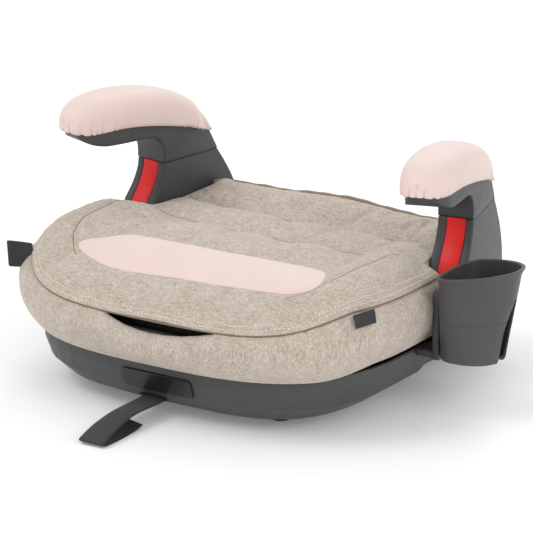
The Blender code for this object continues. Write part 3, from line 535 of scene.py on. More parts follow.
def coons_grid(columns, rows):
    """Quad grid stretched over the outline, with its four corners on the seam line."""
    corner = int(np.argmin(np.abs(HALF_SAMPLES[:, 0] - 0.150) + (HALF_SAMPLES[:, 1] > -0.1) * 1.0))
    rear_corner = int(np.argmin(np.hypot(HALF_SAMPLES[:, 0] - 0.128, HALF_SAMPLES[:, 1] - 0.149)))
    mirror = np.array([-1.0, 1.0])
    front_right = HALF_SAMPLES[:corner + 1]
    front = np.vstack([front_right[1:][::-1] * mirror, front_right])
    right = HALF_SAMPLES[corner:rear_corner + 1]
    left = right * mirror
    back_right = HALF_SAMPLES[rear_corner:]
    back = np.vstack([back_right[:-1] * mirror, back_right[::-1]])
    front, back = resample(front, columns), resample(back, columns)
    right, left = resample(right, rows), resample(left, rows)
    u = np.linspace(0, 1, columns)[None, :, None]
    v = np.linspace(0, 1, rows)[:, None, None]
    ruled_v = front[None] * (1 - v) + back[None] * v
    ruled_u = left[:, None] * (1 - u) + right[:, None] * u
    corners = (front[0] * (1 - u) * (1 - v) + front[-1] * u * (1 - v) + back[0] * (1 - u) * v + back[-1] * u * v)
    return ruled_v + ruled_u - corners


def smooth_noise(x, y, scale, seed):
    """Cheap smooth noise from a few fixed waves."""
    rng = np.random.default_rng(seed)
    total = np.zeros(x.shape)
    for _ in range(9):
        angle, phase = rng.uniform(0, 2 * math.pi, 2)
        k = scale * rng.uniform(0.6, 1.5)
        total += np.sin(k * (x * math.cos(angle) + y * math.sin(angle)) + phase)
    return total / 9


def run_cloth(obj, held, frames, cap, pressure, shrink, bending=0.3, tension=12.0, goal_note="hold"):
    """Inflate a piece with the cloth solver, cap how far it moved and bake the result."""
    start = points(obj)
    group = obj.vertex_groups.new(name=goal_note)
    for i, weight in enumerate(held):
        if weight > 0.01:
            group.add([i], float(weight), "REPLACE")
    cloth = obj.modifiers.new("Cloth", "CLOTH")
    s = cloth.settings
    s.quality = 6
    s.mass = 0.25
    s.tension_stiffness = tension
    s.compression_stiffness = tension
    s.shear_stiffness = 5.0
    s.bending_stiffness = bending
    s.air_damping = 2.0
    s.use_pressure = True
    s.uniform_pressure_force = pressure
    s.shrink_min = shrink
    s.effector_weights.gravity = 0.0
    s.vertex_group_mass = goal_note
    s.pin_stiffness = 1.0
    cloth.collision_settings.use_collision = False
    cloth.point_cache.frame_start = 1
    cloth.point_cache.frame_end = frames
    scene = bpy.context.scene
    for f in range(1, frames + 1):
        scene.frame_set(f)
    apply_all(obj)
    scene.frame_set(1)
    end = points(obj)
    move = end - start
    length = np.linalg.norm(move, axis=1, keepdims=True)
    set_points(obj, start + move * np.minimum(1.0, cap / np.maximum(length, 1e-9)))
    return obj


def build_top():
    columns, rows = ((150, 132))
    xy = coons_grid(columns, rows).reshape(-1, 2)
    x, y = xy[:, 0], xy[:, 1]
    z, held, panel, edge = top_fields(x, y)
    near_seam = np.exp(-(distance_to(BOLSTER_FINE, np.abs(x), y) / 0.011) ** 2)
    gather = np.exp(-((x + 0.140) / 0.040) ** 2 - ((y + 0.125) / 0.035) ** 2) * near_seam
    angle = np.arctan2(y + 0.140, x + 0.112)
    z = z + 0.0017 * gather * np.sin(angle * 24.0 + 1.3 * np.sin(angle * 7.0)) * step(0.0, 0.012, edge) * (1 - panel)
    tucks = np.exp(-((y + 0.178) / 0.020) ** 2) * step(0.004, 0.014, edge)
    z = z + 0.0006 * tucks * np.sin(x * 210.0 + 1.6 * np.sin(x * 47.0)) * smooth_noise(x, y, 60.0, 5) * 2.0
    z = z + 0.0008 * smooth_noise(x, y, 95.0, 3) * step(0.0, 0.02, edge) * (1 - 0.8 * panel)
    z = z + 0.0022 * np.exp(-((x - SLIT_MIDDLE) / 0.040) ** 2 - ((y + 0.195) / 0.012) ** 2)
    top = new_object("quilted_top", np.stack([x, y, z], 1), grid_faces(rows, columns))
    run_cloth(top, held, 14, 0.0048, 3.0, -0.020)
    return top


def lower_edge_lip(top):
    """Solid cloth: one subdivision, then thickness inwards."""
    modifier(top, "SUBSURF", levels=1, render_levels=1)
    apply_all(top)
    modifier(top, "SOLIDIFY", thickness=0.0022, offset=-1.0)
    apply_all(top)


def build_panel(top):
    """Smooth insert laid into its sewn outline, following the padding below."""
    middle = np.array([[PANEL[:, 0].mean(), PANEL[:, 1].mean()]])
    shares = [1.0, 0.992, 0.97, 0.93] + list(np.linspace(0.86, 0.04, 30))
    rings = []
    for share in shares:
        places, ups = surface_path(top, middle + (PANEL - middle) * share)
        lift = 0.0002 + 0.0010 * float(step(1.0, 0.93, share))
        rings.append(places + ups * lift)
    count = len(PANEL)
    verts = np.vstack([np.concatenate(rings), [rings[-1].mean(0)]])
    faces = grid_faces(len(rings), count, True)
    tip, last = len(rings) * count, (len(rings) - 1) * count
    faces += [(last + k, last + (k + 1) % count, tip) for k in range(count)]
    panel = new_object("insert_panel_cloth", verts, faces)
    smooth = modifier(panel, "SMOOTH", factor=0.5, iterations=6)
    group = panel.vertex_groups.new(name="inner")
    group.add(list(range(count * 3, len(verts))), 1.0, "REPLACE")
    smooth.vertex_group = "inner"
    modifier(panel, "SOLIDIFY", thickness=0.0009, offset=-1.0)
    return apply_all(panel)


# ---------------------------------------------------------------- cover band


def hem_z(y):
    side = mix(0.0588, 0.0665, step(-0.16, -0.09, y))
    return mix(side, 0.0700, step(0.0, 0.008, y))


def slit_drop(x, y):
    across = (x - SLIT_MIDDLE) / SLIT_HALF
    share = np.clip(1 - across ** 2, 0, 1) * (1 - 0.25 * across)
    return np.where(y < -0.15, SLIT_DROP * share ** 0.8, 0.0)


BAND_PROFILE = spline([(0.0, -0.0030), (0.03, 0.0010), (0.12, 0.0060), (0.32, 0.0092), (0.60, 0.0074),
                       (0.82, 0.0012), (0.95, -0.0040), (1.0, -0.0058)], 6)


def build_band():
    loop, out = LOOP, LOOP_OUT
    x, y = loop[:, 0], loop[:, 1]
    levels = 26
    fractions = np.linspace(0, 1, levels)
    notch = step(NOTCH_Y - 0.016, NOTCH_Y - 0.004, y)
    rear = step(0.125, 0.148, y)
    amount = mix(1.0, 0.12, notch) * mix(1.0, 1.0, rear) + 0.5 * rear * notch
    left_front = np.exp(-((x + 0.180) / 0.03) ** 2 - ((y + 0.115) / 0.06) ** 2)
    rows = []
    top_z = seam_z(x, y) - 0.0008 - slit_drop(x, y)
    for f in fractions:
        bulge = np.interp(f, BAND_PROFILE[:, 0], BAND_PROFILE[:, 1])
        offset = np.where(bulge > 0, bulge * amount, bulge * mix(1.0, 0.35, notch))
        offset = offset + 0.0045 * left_front * math.sin(math.pi * min(f * 1.05, 1.0))
        pucker = 0.0005 * np.exp(-(f / 0.16) ** 2) * np.sin(np.arange(len(x)) * 0.9 + 2 * np.sin(x * 31))
        offset = offset + (pucker + 0.0007 * smooth_noise(x * 1.0 + f * 0.03, y + f * 0.05, 70.0, 11)
                           * math.sin(math.pi * f)) * (1 - notch)
        lip = slit_drop(x, y) / SLIT_DROP * 0.0030 * math.exp(-(f / 0.10) ** 2)
        rows.append(np.stack([x + out[:, 0] * (offset + lip), y + out[:, 1] * (offset + lip),
                              mix(top_z, hem_z(y), f)], 1))
    count = len(x)
    band = new_object("side_band", np.concatenate(rows), grid_faces(levels, count, True))
    held = np.zeros(levels * count)
    held[:count] = 1.0
    held[count:2 * count] = 0.6
    held[-count:] = 1.0
    held[-2 * count:-count] = 1.0
    tight = np.tile(notch > 0.05, levels)
    held[tight] = 1.0
    run_cloth(band, held, 10, 0.0012, 1.0, -0.006)
    modifier(band, "SUBSURF", levels=1, render_levels=1)
    apply_all(band)
    modifier(band, "SOLIDIFY", thickness=0.0020, offset=-1.0)
    return apply_all(band)


# ---------------------------------------------------------------- sewn details
def thread_rows(name, path, normal_up, spacing, length, radius):
    """Separate stitches along a path: short rounded threads that dip into the cloth at both ends."""
    run = np.concatenate([[0], np.cumsum(np.linalg.norm(np.diff(path, axis=0), axis=1))])
    verts, faces = [], []
    sides, rings = 5, 4
    start = 0.0
    while start + length < run[-1]:
        at = np.linspace(start, start + length, rings)
        centre = np.stack([np.interp(at, run, path[:, k]) for k in range(3)], 1)
        up = np.stack([np.interp(at, run, normal_up[:, k]) for k in range(3)], 1)
        along = centre[-1] - centre[0]
        along /= np.linalg.norm(along) + 1e-12
        base = len(verts)
        for i in range(rings):
            arch = math.sin(math.pi * (i + 0.35) / (rings - 0.3))
            n = up[i] / (np.linalg.norm(up[i]) + 1e-12)
            b = np.cross(along, n)
            fat = radius * (0.55 + 0.45 * arch)
            for k in range(sides):
                t = 2 * math.pi * k / sides
                verts.append(centre[i] + n * (radius * 0.7 * arch - radius * 0.35) + n * fat * math.cos(t)
                             + b * fat * math.sin(t))
        for i in range(rings - 1):
            for k in range(sides):
                j = (k + 1) % sides
                faces.append((base + i * sides + k, base + i * sides + j, base + (i + 1) * sides + j,
                              base + (i + 1) * sides + k))
        faces.append(tuple(base + k for k in range(sides)))
        faces.append(tuple(base + (rings - 1) * sides + k for k in reversed(range(sides))))
        start += spacing
    return new_object(name, verts, faces)


def surface_path(obj, xy):
    """Drop points from above onto a finished piece and return places and normals."""
    from mathutils.bvhtree import BVHTree
    bm = bmesh.new()
    bm.from_mesh(obj.data)
    tree = BVHTree.FromBMesh(bm)
    places, ups = [], []
    for x, y in xy:
        hit, normal, _, _ = tree.ray_cast(Vector((x, y, 0.30)), Vector((0, 0, -1)))
        if hit is not None:
            places.append(hit)
            ups.append(normal if normal.z > 0 else -normal)
    bm.free()
    return np.array(places), np.array(ups)


def sewn_cord(name, top, xy, radius, lift):
    """Thin dark thread lying along a seam of the top."""
    places, ups = surface_path(top, resample(xy, max(int(len(xy) * 1.0), 60)))
    rings = []
    along = np.gradient(places, axis=0)
    for p, n, a in zip(places, ups, along):
        b = np.cross(a, n)
        b /= np.linalg.norm(b) + 1e-12
        n = n / np.linalg.norm(n)
        rings.append([p + n * (lift + radius * math.cos(t)) + b * radius * math.sin(t)
                      for t in np.linspace(0, 2 * math.pi, 7)[:-1]])
    cord = loft(name, rings)
    place(cord, SEAM_THREAD, "melange_fabric", "seat_body")


def build_stitches(top):
    for row, inset in ((1, 0.0030), (2, 0.0064)):
        line = resample(LOOP - LOOP_OUT * inset, 1400, True)
        line = line[line[:, 1] < 0.008]
        ordered = np.vstack([line[line[:, 0] < 0], line[line[:, 0] >= 0]])
        places, ups = surface_path(top, ordered)
        stitches = thread_rows("seam_stitches_%d" % row, places, ups, 0.0042, 0.0030, 0.00042)
        place(stitches, THREAD, "melange_fabric", "seat_body")
    xs = np.linspace(-0.147, 0.147, 160)
    sewn_cord("rear_channel_seam", top, np.stack([xs, groove_rear(xs)], 1), 0.00045, -0.0001)
    xs = np.linspace(-0.138, 0.138, 160)
    sewn_cord("front_channel_seam", top, np.stack([xs, groove_front(xs)], 1), 0.00045, -0.0001)
    for word, mirror in (("left", -1.0), ("right", 1.0)):
        sewn_cord(word + "_bolster_seam", top, resample(BOLSTER_FINE * np.array([mirror, 1.0]), 120), 0.00045, -0.0001)


def build_piping():
    """Woven tape folded over the rear top edge."""
    centre = LOOP[(LOOP[:, 1] > 0.136)]
    centre = centre[np.argsort(centre[:, 0])]
    centre = resample(centre, 90)
    out = np.gradient(centre, axis=0)
    out = np.stack([-out[:, 1], out[:, 0]], 1)
    out /= np.linalg.norm(out, axis=1, keepdims=True)
    rings = []
    for (x, y), (nx, ny) in zip(centre, out):
        z = float(seam_z(np.array(x), np.array(y)))
        ring = []
        for k in range(14):
            t = 2 * math.pi * k / 14
            across = 0.0032 * math.cos(t) + 0.0008
            wave = 0.0004 * math.sin(x * 120.0) + 0.0003 * math.sin(x * 260.0 + 1.0)
            ring.append((x + nx * across, y + ny * across, z + 0.0005 + wave + 0.0023 * math.sin(t)))
        rings.append(ring)
    return loft("rear_piping", rings)


def build_tag(name, corners, bend, folds, depth):
    """Folded fabric tab: a soft strip between four corners, two layers thick."""
    a, b, c, d = (np.array(p) for p in corners)
    rows, cols = 8, 12
    normal = np.cross(b - a, d - a)
    normal /= np.linalg.norm(normal)
    verts = []
    for i in range(rows):
        for j in range(cols):
            u, v = j / (cols - 1), i / (rows - 1)
            p = (a * (1 - u) + b * u) * (1 - v) + (d * (1 - u) + c * u) * v
            verts.append(p + normal * (bend * math.sin(math.pi * u) + folds * math.sin(math.pi * v)))
    tag = new_object(name, verts, grid_faces(rows, cols))
    modifier(tag, "SOLIDIFY", thickness=depth, offset=0.0)
    modifier(tag, "SUBSURF", levels=1, render_levels=1)
    return apply_all(tag)


def build_perimeter_seam():
    """Dark stitched fold between the top and the side band."""
    rows = []
    keep = resample(LOOP, 900, True)
    keep = keep[keep[:, 1] < 0.010]
    keep = np.vstack([keep[keep[:, 0] < 0][::1], keep[keep[:, 0] >= 0]])
    out = np.gradient(keep, axis=0)
    out = np.stack([out[:, 1], -out[:, 0]], 1)
    out /= np.linalg.norm(out, axis=1, keepdims=True)
    for (x, y), (nx, ny) in zip(keep, out):
        z = float(seam_z(np.array(x), np.array(y))) - 0.0008
        rows.append([(x + nx * (0.0011 * math.cos(t) - 0.0008), y + ny * (0.0011 * math.cos(t) - 0.0008),
                      z + 0.0010 * math.sin(t)) for t in np.linspace(0, 2 * math.pi, 9)[:-1]])
    return loft("perimeter_seam", rows)


def build_slit_shadow_sheet():
    """Near-black wall behind the hand opening: a painted shadow that blackens the inside of the slit."""
    rings = []
    for x in np.linspace(-0.062, 0.084, 30):
        front = SEAT_FRONT_Y + 0.0165 + 0.30 * (x - SLIT_MIDDLE) ** 2
        rings.append([(x, front, 0.0800), (x, front, 0.1085), (x, front + 0.002, 0.1085), (x, front + 0.002, 0.0800)])
    return loft("slit_shadow_sheet", rings)


def build_grip_ledge():
    """Plastic lip of the carrying grip behind the front slit."""
    xs = np.linspace(-0.060, 0.050, 40)
    rings = []
    for x in xs:
        share = abs(x + 0.005) / 0.055
        front = SEAT_FRONT_Y + 0.0050 + 0.010 * share ** 3
        drop = 0.006 * share ** 4
        ring = [(x, front, 0.0800), (x, front, 0.0895 - drop), (x, front + 0.0006, 0.0912 - drop),
                (x, front + 0.0020, 0.0925 - drop), (x, front + 0.0050, 0.0930 - drop),
                (x, front + 0.0080, 0.0925 - drop), (x, front + 0.0085, 0.0800)]
        rings.append(ring)
    return loft("grip_ledge", rings)


# ---------------------------------------------------------------- armrests
FRONT_FACE = np.array([(-0.004, 0.0655), (-0.0110, 0.085), (-0.0125, 0.105), (-0.0060, 0.122), (0.0055, 0.139),
                       (0.0118, 0.153), (0.0135, PARTING_Z)])
UNDERSIDE = np.array([(0.0135, PARTING_Z + 0.0004), (0.0130, 0.176), (0.0095, 0.1855), (0.0010, 0.1925),
                      (-0.0120, 0.1952), (-0.0300, 0.1964), (-0.0500, 0.1980), (-0.0700, 0.2005),
                      (-0.0830, 0.2042), (-0.0915, 0.2100), (-0.0960, 0.2200)])
PAD_SEAT = np.array([(-0.0935, 0.2250), (-0.0820, 0.2265), (-0.0520, 0.2250), (0.0100, 0.2130),
                     (0.0420, 0.2040), (0.0620, 0.1965)])


def nose_shift(y, across):
    return 0.005 * across * step(0.02, 0.095, -np.asarray(y, float))


def armrest_matrix(side):
    return Matrix.Translation((side * POST_X, POST_Y, 0.0)) @ Matrix.Rotation(side * POST_TOE, 4, "Z")


def armrest_plate(name, outline, side):
    outline = np.asarray(outline, float)
    y, z = outline[:, 0], outline[:, 1]
    inner = np.stack([np.full(len(y), 0.0), y + nose_shift(y, -1), z], 1)
    outer = np.stack([side * (POST_WIDTH - POST_TAPER * y), y + nose_shift(y, 1), z], 1)
    obj = loft(name, [inner, outer])
    obj.data.transform(armrest_matrix(side))
    return obj


def round_edges(obj, width, segments, angle):
    modifier(obj, "BEVEL", width=width, segments=segments, limit_method="ANGLE", angle_limit=math.radians(angle))
    apply_all(obj)
    obj.data.shade_smooth()
    obj.data.set_sharp_from_angle(angle=math.radians(38))


def guide_band(depth_in, depth_out, low_z, high_z, curve, count=30):
    heights = np.linspace(low_z, high_z, count)
    y = np.interp(heights, curve[:, 1], curve[:, 0])
    front = np.stack([y + depth_out, heights], 1)
    back = np.stack([y + depth_in, heights], 1)[::-1]
    return np.vstack([front, back])


def strip(name, outline, side, low, high):
    outline = np.asarray(outline, float)
    rings = [np.stack([np.full(len(outline), side * v), outline[:, 0], outline[:, 1]], 1) for v in (low, high)]
    obj = loft(name, rings)
    obj.data.transform(armrest_matrix(side))
    return obj


def carve(obj, tool, operation="DIFFERENCE"):
    modifier(obj, "BOOLEAN", operation=operation, solver="EXACT", object=tool)
    apply_all(obj)
    bpy.data.objects.remove(tool)


def on_both_sides(left, material, slot, node):
    """Place a left-hand piece and its mirror image; node is the CAD name without its side."""
    mesh = left.data.copy()
    mesh.transform(Matrix.Scale(-1, 4, (1, 0, 0)))
    mesh.flip_normals()
    right = bpy.data.objects.new(left.name.replace("left", "right"), mesh)
    bpy.context.scene.collection.objects.link(right)
    place(left, material, slot, "seat_body", "left_" + node)
    place(right, material, slot, "seat_body", "right_" + node)


def build_posts():
    curve = spline(FRONT_FACE, 8)
    rear = spline([(0.0925, 0.1625), (0.1050, 0.1450), (0.1170, 0.1250), (0.1255, 0.100), (0.1275, 0.0655)], 6)
    outline = np.vstack([curve, [(0.0235, PARTING_Z - 0.0008)], rear])
    post = armrest_plate("left_post", outline, -1)
    round_edges(post, 0.0075, 6, 60)
    middle, half = POST_WIDTH / 2, GUIDE_WIDTH / 2 + 0.0006
    channel = guide_band(GUIDE_DEPTH, -0.02, 0.050, PARTING_Z + 0.01, curve)
    carve(post, strip("cutter", channel, -1, middle - half, middle + half))
    round_edges(post, 0.0009, 2, 50)
    on_both_sides(post, CHARCOAL, "charcoal_plastic", "armrest_post")
    back = GUIDE_DEPTH - 0.0004
    band = guide_band(back, back - 0.0015, 0.0905, PARTING_Z - 0.0004, curve, 40)
    half = GUIDE_WIDTH / 2
    guide = strip("left_guide_strip", band, -1, middle - half, middle + half)
    round_edges(guide, 0.0005, 2, 50)
    on_both_sides(guide, RED, "red_plastic", "belt_guide")


NOSE_START, NOSE_TIP, NOSE_HALF, NOSE_POWER = -0.050, -0.0975, 0.0242, 2.2


def nose_half(y):
    """Half width of the arm seen from above; its nose is rounded."""
    share = min(max((NOSE_START - y) / (NOSE_START - NOSE_TIP), 0.0), 1.0)
    return min(NOSE_HALF * (1 - share ** NOSE_POWER) ** (1 / NOSE_POWER), (POST_WIDTH - POST_TAPER * y) / 2)


def build_arms():
    under = spline(UNDERSIDE, 8)
    outline = np.vstack([under, PAD_SEAT, [(0.0770, 0.1895), (0.0925, 0.1629)], [(0.0235, PARTING_Z - 0.0004)]])
    arm = armrest_plate("left_arm_shell", outline, -1)
    turns = np.linspace(0, math.pi / 2, 16)
    y = NOSE_START + (NOSE_TIP - NOSE_START) * np.sin(turns) ** (2 / NOSE_POWER)
    h = NOSE_HALF * np.cos(turns).clip(0) ** (2 / NOSE_POWER)
    centre = POST_TAPER * 0.5 * y - POST_WIDTH / 2
    plan = [(-0.069, 0.14)] + list(zip(centre - h, y)) + list(zip(centre + h, y))[-2::-1] + [(0.031, 0.14)]
    tool = loft("nose_tool", [[(px, py, pz) for px, py in plan] for pz in (0.12, 0.26)])
    tool.data.transform(armrest_matrix(-1))
    carve(arm, tool, "INTERSECT")
    round_edges(arm, 0.0042, 5, 55)
    on_both_sides(arm, CHARCOAL, "charcoal_plastic", "arm")


PAD_TOP = np.array([(-0.1055, 0.2270), (-0.1035, 0.2345), (-0.0975, 0.2405), (-0.0860, 0.2450), (-0.0700, 0.2474),
                    (-0.0420, 0.2478), (-0.0150, 0.2452), (0.0120, 0.2402), (0.0340, 0.2330), (0.0540, 0.2225),
                    (0.0690, 0.2095), (0.0780, 0.1980), (0.0815, 0.1885)])
PAD_BOTTOM = np.array([(-0.1055, 0.2205), (-0.0940, 0.2172), (-0.0820, 0.2160), (-0.0600, 0.2166), (-0.0400, 0.2156),
                       (-0.015, 0.2120), (0.014, 0.2060), (0.046, 0.1975), (0.0700, 0.1890), (0.0815, 0.1855)])
PAD_HALF_WIDTH = 0.0315
PLEAT_PITCH, PLEAT_HEIGHT, PLEAT_DEPTH = 0.0085, 0.0105, 0.0016


def pad_half_width(y):
    middle, reach = (PAD_TOP[0, 0] + PAD_TOP[-1, 0]) / 2, (PAD_TOP[-1, 0] - PAD_TOP[0, 0]) / 2
    share = min(abs(y - middle) / reach, 1.0)
    return PAD_HALF_WIDTH * (1 - share ** 2.7) ** (1 / 2.3)


def pleat_edge(pad, side):
    """Short sharp folds that rise from the elastic edge around the nose and near the rear end."""
    co, normal = points(pad), normals(pad)
    turned = np.array(armrest_matrix(side).inverted())
    local = co @ turned[:3, :3].T + turned[:3, 3]
    y = local[:, 1]
    across = local[:, 0] - side * (POST_WIDTH / 2 - POST_TAPER * 0.5 * y)
    edge = np.interp(y, PAD_BOTTOM[:, 0], PAD_BOTTOM[:, 1])
    round_nose = np.arctan2(across, np.maximum(-0.070 - y, 0) + 1e-6) * PAD_HALF_WIDTH
    along = round_nose - np.maximum(y + 0.070, 0) * np.sign(across)
    phase = math.pi * along / PLEAT_PITCH + 0.7 * np.sin(along * 190.0)
    tall = 0.75 + 0.35 * np.sin(along * 310.0 + 1.0)
    low = np.exp(-(np.clip(local[:, 2] - edge, 0, 1) / (PLEAT_HEIGHT * tall)) ** 2)
    place_weight = step(-0.038, -0.066, y) + step(0.020, 0.045, y)
    fold = np.abs(np.cos(phase)) ** 9 - 0.25
    set_points(pad, co - normal * (PLEAT_DEPTH * fold * low * place_weight)[:, None])


def build_pad(side, word):
    """Gathered cover over a rounded foam block: open below, pleated along its elastic lower edge."""
    sections, sides = ((92, 46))
    top, bottom = spline(PAD_TOP, 6), spline(PAD_BOTTOM, 6)
    front, rear = PAD_TOP[0, 0], PAD_TOP[-1, 0]
    verts = np.zeros((sections, sides, 3))
    held = np.zeros((sections, sides))
    angles = np.linspace(-0.36, math.pi + 0.36, sides)
    ca, sa = np.cos(angles), np.sin(angles)
    below = np.clip(-sa / 0.352, 0, 1)
    for i in range(sections):
        turn = math.pi * (i + 0.30) / (sections - 0.4)
        y = mix(front, rear, (1 - math.cos(turn)) / 2)
        high = np.interp(y, top[:, 0], top[:, 1])
        low = np.interp(y, bottom[:, 0], bottom[:, 1])
        least = nose_half(y) + 0.0022
        half = max(pad_half_width(y) - 0.0012, least)
        tuck = min(max(least - 0.0014, 0.90 * half) / half, 1.0)
        x = half * np.sign(ca) * np.abs(ca) ** 0.70 * mix(1.0, tuck, below)
        z = low + (high - low) * np.clip(sa, 0, 1) ** 0.72 - 0.0020 * below
        verts[i, :, 0] = side * (POST_WIDTH / 2 - POST_TAPER * 0.5 * y) + x
        verts[i, :, 1] = y + nose_shift(y, 1) * side * x / PAD_HALF_WIDTH
        verts[i, :, 2] = z
        held[i, 0] = held[i, -1] = 1.0
        held[i, 1] = held[i, -2] = 0.7
    flat = verts.reshape(-1, 3)
    faces = grid_faces(sections, sides)
    first = len(flat)
    flat = np.vstack([flat, verts[0].mean(0) - (0, 0.0004, 0), verts[-1].mean(0) + (0, 0.0004, 0)])
    for ring, tip in ((0, first), (sections - 1, first + 1)):
        for j in range(sides):
            a, b = ring * sides + j, ring * sides + (j + 1) % sides
            faces.append((a, b, tip) if ring else (b, a, tip))
    pad = new_object(word + "_pad_cloth", flat, faces)
    pad.data.transform(armrest_matrix(side))
    weights = np.concatenate([held.ravel(), [0.0, 0.0]])
    run_cloth(pad, weights, 12, 0.0016, 1.8, -0.012, 0.4)
    modifier(pad, "SUBSURF", levels=1, render_levels=1)
    apply_all(pad)
    pleat_edge(pad, side)
    modifier(pad, "SOLIDIFY", thickness=0.0012, offset=-1.0)
    apply_all(pad)
    place(pad, PINK, "pink_fabric", "seat_body", word + "_pad_cover", word + "_pad_foam")


# ---------------------------------------------------------------- cup holder
CUP_BACK, CUP_SQUARENESS = 0.020, 2.8


def cup_ring(depth, half_width, grow, level, count=60):
    """D-shaped ring at a share of the height: squarish towards the seat, round away from it."""
    centre, half = CUP_X + CUP_BACK, half_width + grow
    turns = np.linspace(-math.pi / 2, math.pi / 2, count, endpoint=False)
    front = np.stack([centre + (depth - CUP_BACK + grow) * np.cos(turns), CUP_Y + half * np.sin(turns)], 1)
    power = 2 / CUP_SQUARENESS
    across, out = np.cos(turns + math.pi / 2), np.sin(turns + math.pi / 2).clip(0)
    back = np.stack([centre - (CUP_BACK + grow) * out ** power,
                     CUP_Y + half * np.sign(across) * np.abs(across) ** power], 1)
    outline = np.vstack([front, back])
    rim_z = CUP_RIM_Z + CUP_RIM_SLOPE * (outline[:, 0] - CUP_X)
    return np.column_stack([outline, mix(CUP_FLOOR_Z, rim_z, level)])


def build_cup():
    wall = 0.0024
    rings = [cup_ring(0.0525, 0.0250, -0.0035, 0.0)]
    for level, depth, half, grow in ((0.0, 0.0558, 0.0282, -0.0014), (0.012, 0.0574, 0.0291, -0.0004),
                                     (0.04, 0.0585, 0.0298, 0.0), (0.28, 0.0622, 0.0321, 0.0),
                                     (0.455, 0.0655, 0.0337, 0.0), (0.460, 0.0654, 0.0337, -0.0003),
                                     (0.468, 0.0655, 0.0337, -0.0003), (0.473, 0.0657, 0.0338, 0.0),
                                     (0.70, 0.0698, 0.0353, 0.0), (0.92, 0.0738, 0.0364, 0.0),
                                     (0.960, 0.0752, 0.0369, 0.0004), (0.982, 0.0765, 0.0372, 0.0009),
                                     (0.996, 0.0766, 0.0372, 0.0010), (1.0, 0.0764, 0.0372, 0.0005),
                                     (1.0, 0.0757, 0.0371, -0.0012), (0.994, 0.0752, 0.0370, -wall),
                                     (0.30, 0.0632, 0.0328, -wall), (0.06, 0.0585, 0.0298, -wall)):
        rings.append(cup_ring(depth, half, grow, level))
    floor = [(x, y, CUP_FLOOR_Z + wall) for x, y, z in cup_ring(0.055, 0.0280, -wall, 0.0)]
    rings.append(floor)
    cup = loft("cup_shell", rings)
    opening = np.array([(-0.0072, 0.030), (0.0072, 0.030), (0.0072, 0.1150), (0.0050, 0.1130),
                        (-0.0060, 0.0930), (-0.0072, 0.0890)])
    flare = opening + np.array([(0, 0), (0, 0), (0, 0.014), (-0.007, 0.013), (-0.010, 0.009), (0, 0.003)])
    turn_slot = Matrix.Translation((CUP_X + 0.012, CUP_Y, 0.0)) @ Matrix.Rotation(math.radians(1), 4, "Z")
    for name, sections in (("slot_tool", ((0.030, opening), (0.10, opening))),
                           ("flare_tool", ((0.0505, opening), (0.0640, flare)))):
        tool = loft(name, [[(x, y, z) for y, z in outline] for x, outline in sections])
        tool.data.transform(turn_slot)
        carve(cup, tool)
    hook = loft("hook_tool", [[(CUP_X - 0.0050, CUP_Y + s * 0.012, z) for s, z in
                               ((-1, 0.0860), (1, 0.0860), (1, 0.1175), (-1, 0.1175))],
                              [(CUP_X + 0.0015, CUP_Y + s * 0.012, z) for s, z in
                               ((-1, 0.0860), (1, 0.0860), (1, 0.1175), (-1, 0.1175))]])
    carve(cup, hook, "UNION")
    cup.data.shade_smooth()
    cup.data.set_sharp_from_angle(angle=math.radians(34))
    modifier(cup, "BEVEL", width=0.0006, segments=2, limit_method="ANGLE", angle_limit=math.radians(50))
    place(cup, CHARCOAL_CUP, "charcoal_plastic", "cup_holder", "cup_holder")


# ---------------------------------------------------------------- pull strap
STRAP_X = -0.013


def build_strap():
    """Webbing from the front slot to the floor, folded back on itself into a pull loop."""
    knots = np.array([(0.0, -0.1600, 0.0148), (0.0, -0.1780, 0.0148), (-0.0010, -0.1950, 0.0146),
                      (-0.0015, -0.2150, 0.0146), (-0.0010, -0.2360, 0.0130), (0.0, -0.2560, 0.0098),
                      (0.001, -0.2690, 0.0066), (0.001, -0.2750, 0.0040), (0.001, -0.2705, 0.0019),
                      (0.001, -0.2560, 0.0014), (0.001, -0.2380, 0.0018), (0.0020, -0.2220, 0.0036),
                      (0.0030, -0.2120, 0.0062)])
    path = resample(spline(knots, 10), 120)
    along = np.gradient(path, axis=0)
    along /= np.linalg.norm(along, axis=1, keepdims=True)
    rings = []
    half, thick = 0.0140, 0.0009
    for i, (p, a) in enumerate(zip(path, along)):
        tilt = 0.10 * math.sin(i / 120 * 5.0)
        across = np.array([math.cos(tilt), 0.0, math.sin(tilt)])
        across -= a * across.dot(a)
        across /= np.linalg.norm(across)
        n = np.cross(across, a)
        ring = []
        for k in range(16):
            t = 2 * math.pi * k / 16
            w = half * math.copysign(abs(math.cos(t)) ** 0.25, math.cos(t))
            h = thick * math.copysign(abs(math.sin(t)) ** 0.6, math.sin(t))
            ring.append(np.array([STRAP_X, 0.0, 0.0]) + p + across * w + n * h)
        rings.append(ring)
    strap = loft("pull_loop", rings)
    place(strap, WEBBING, "black_webbing", "pull_strap", "pull_strap")


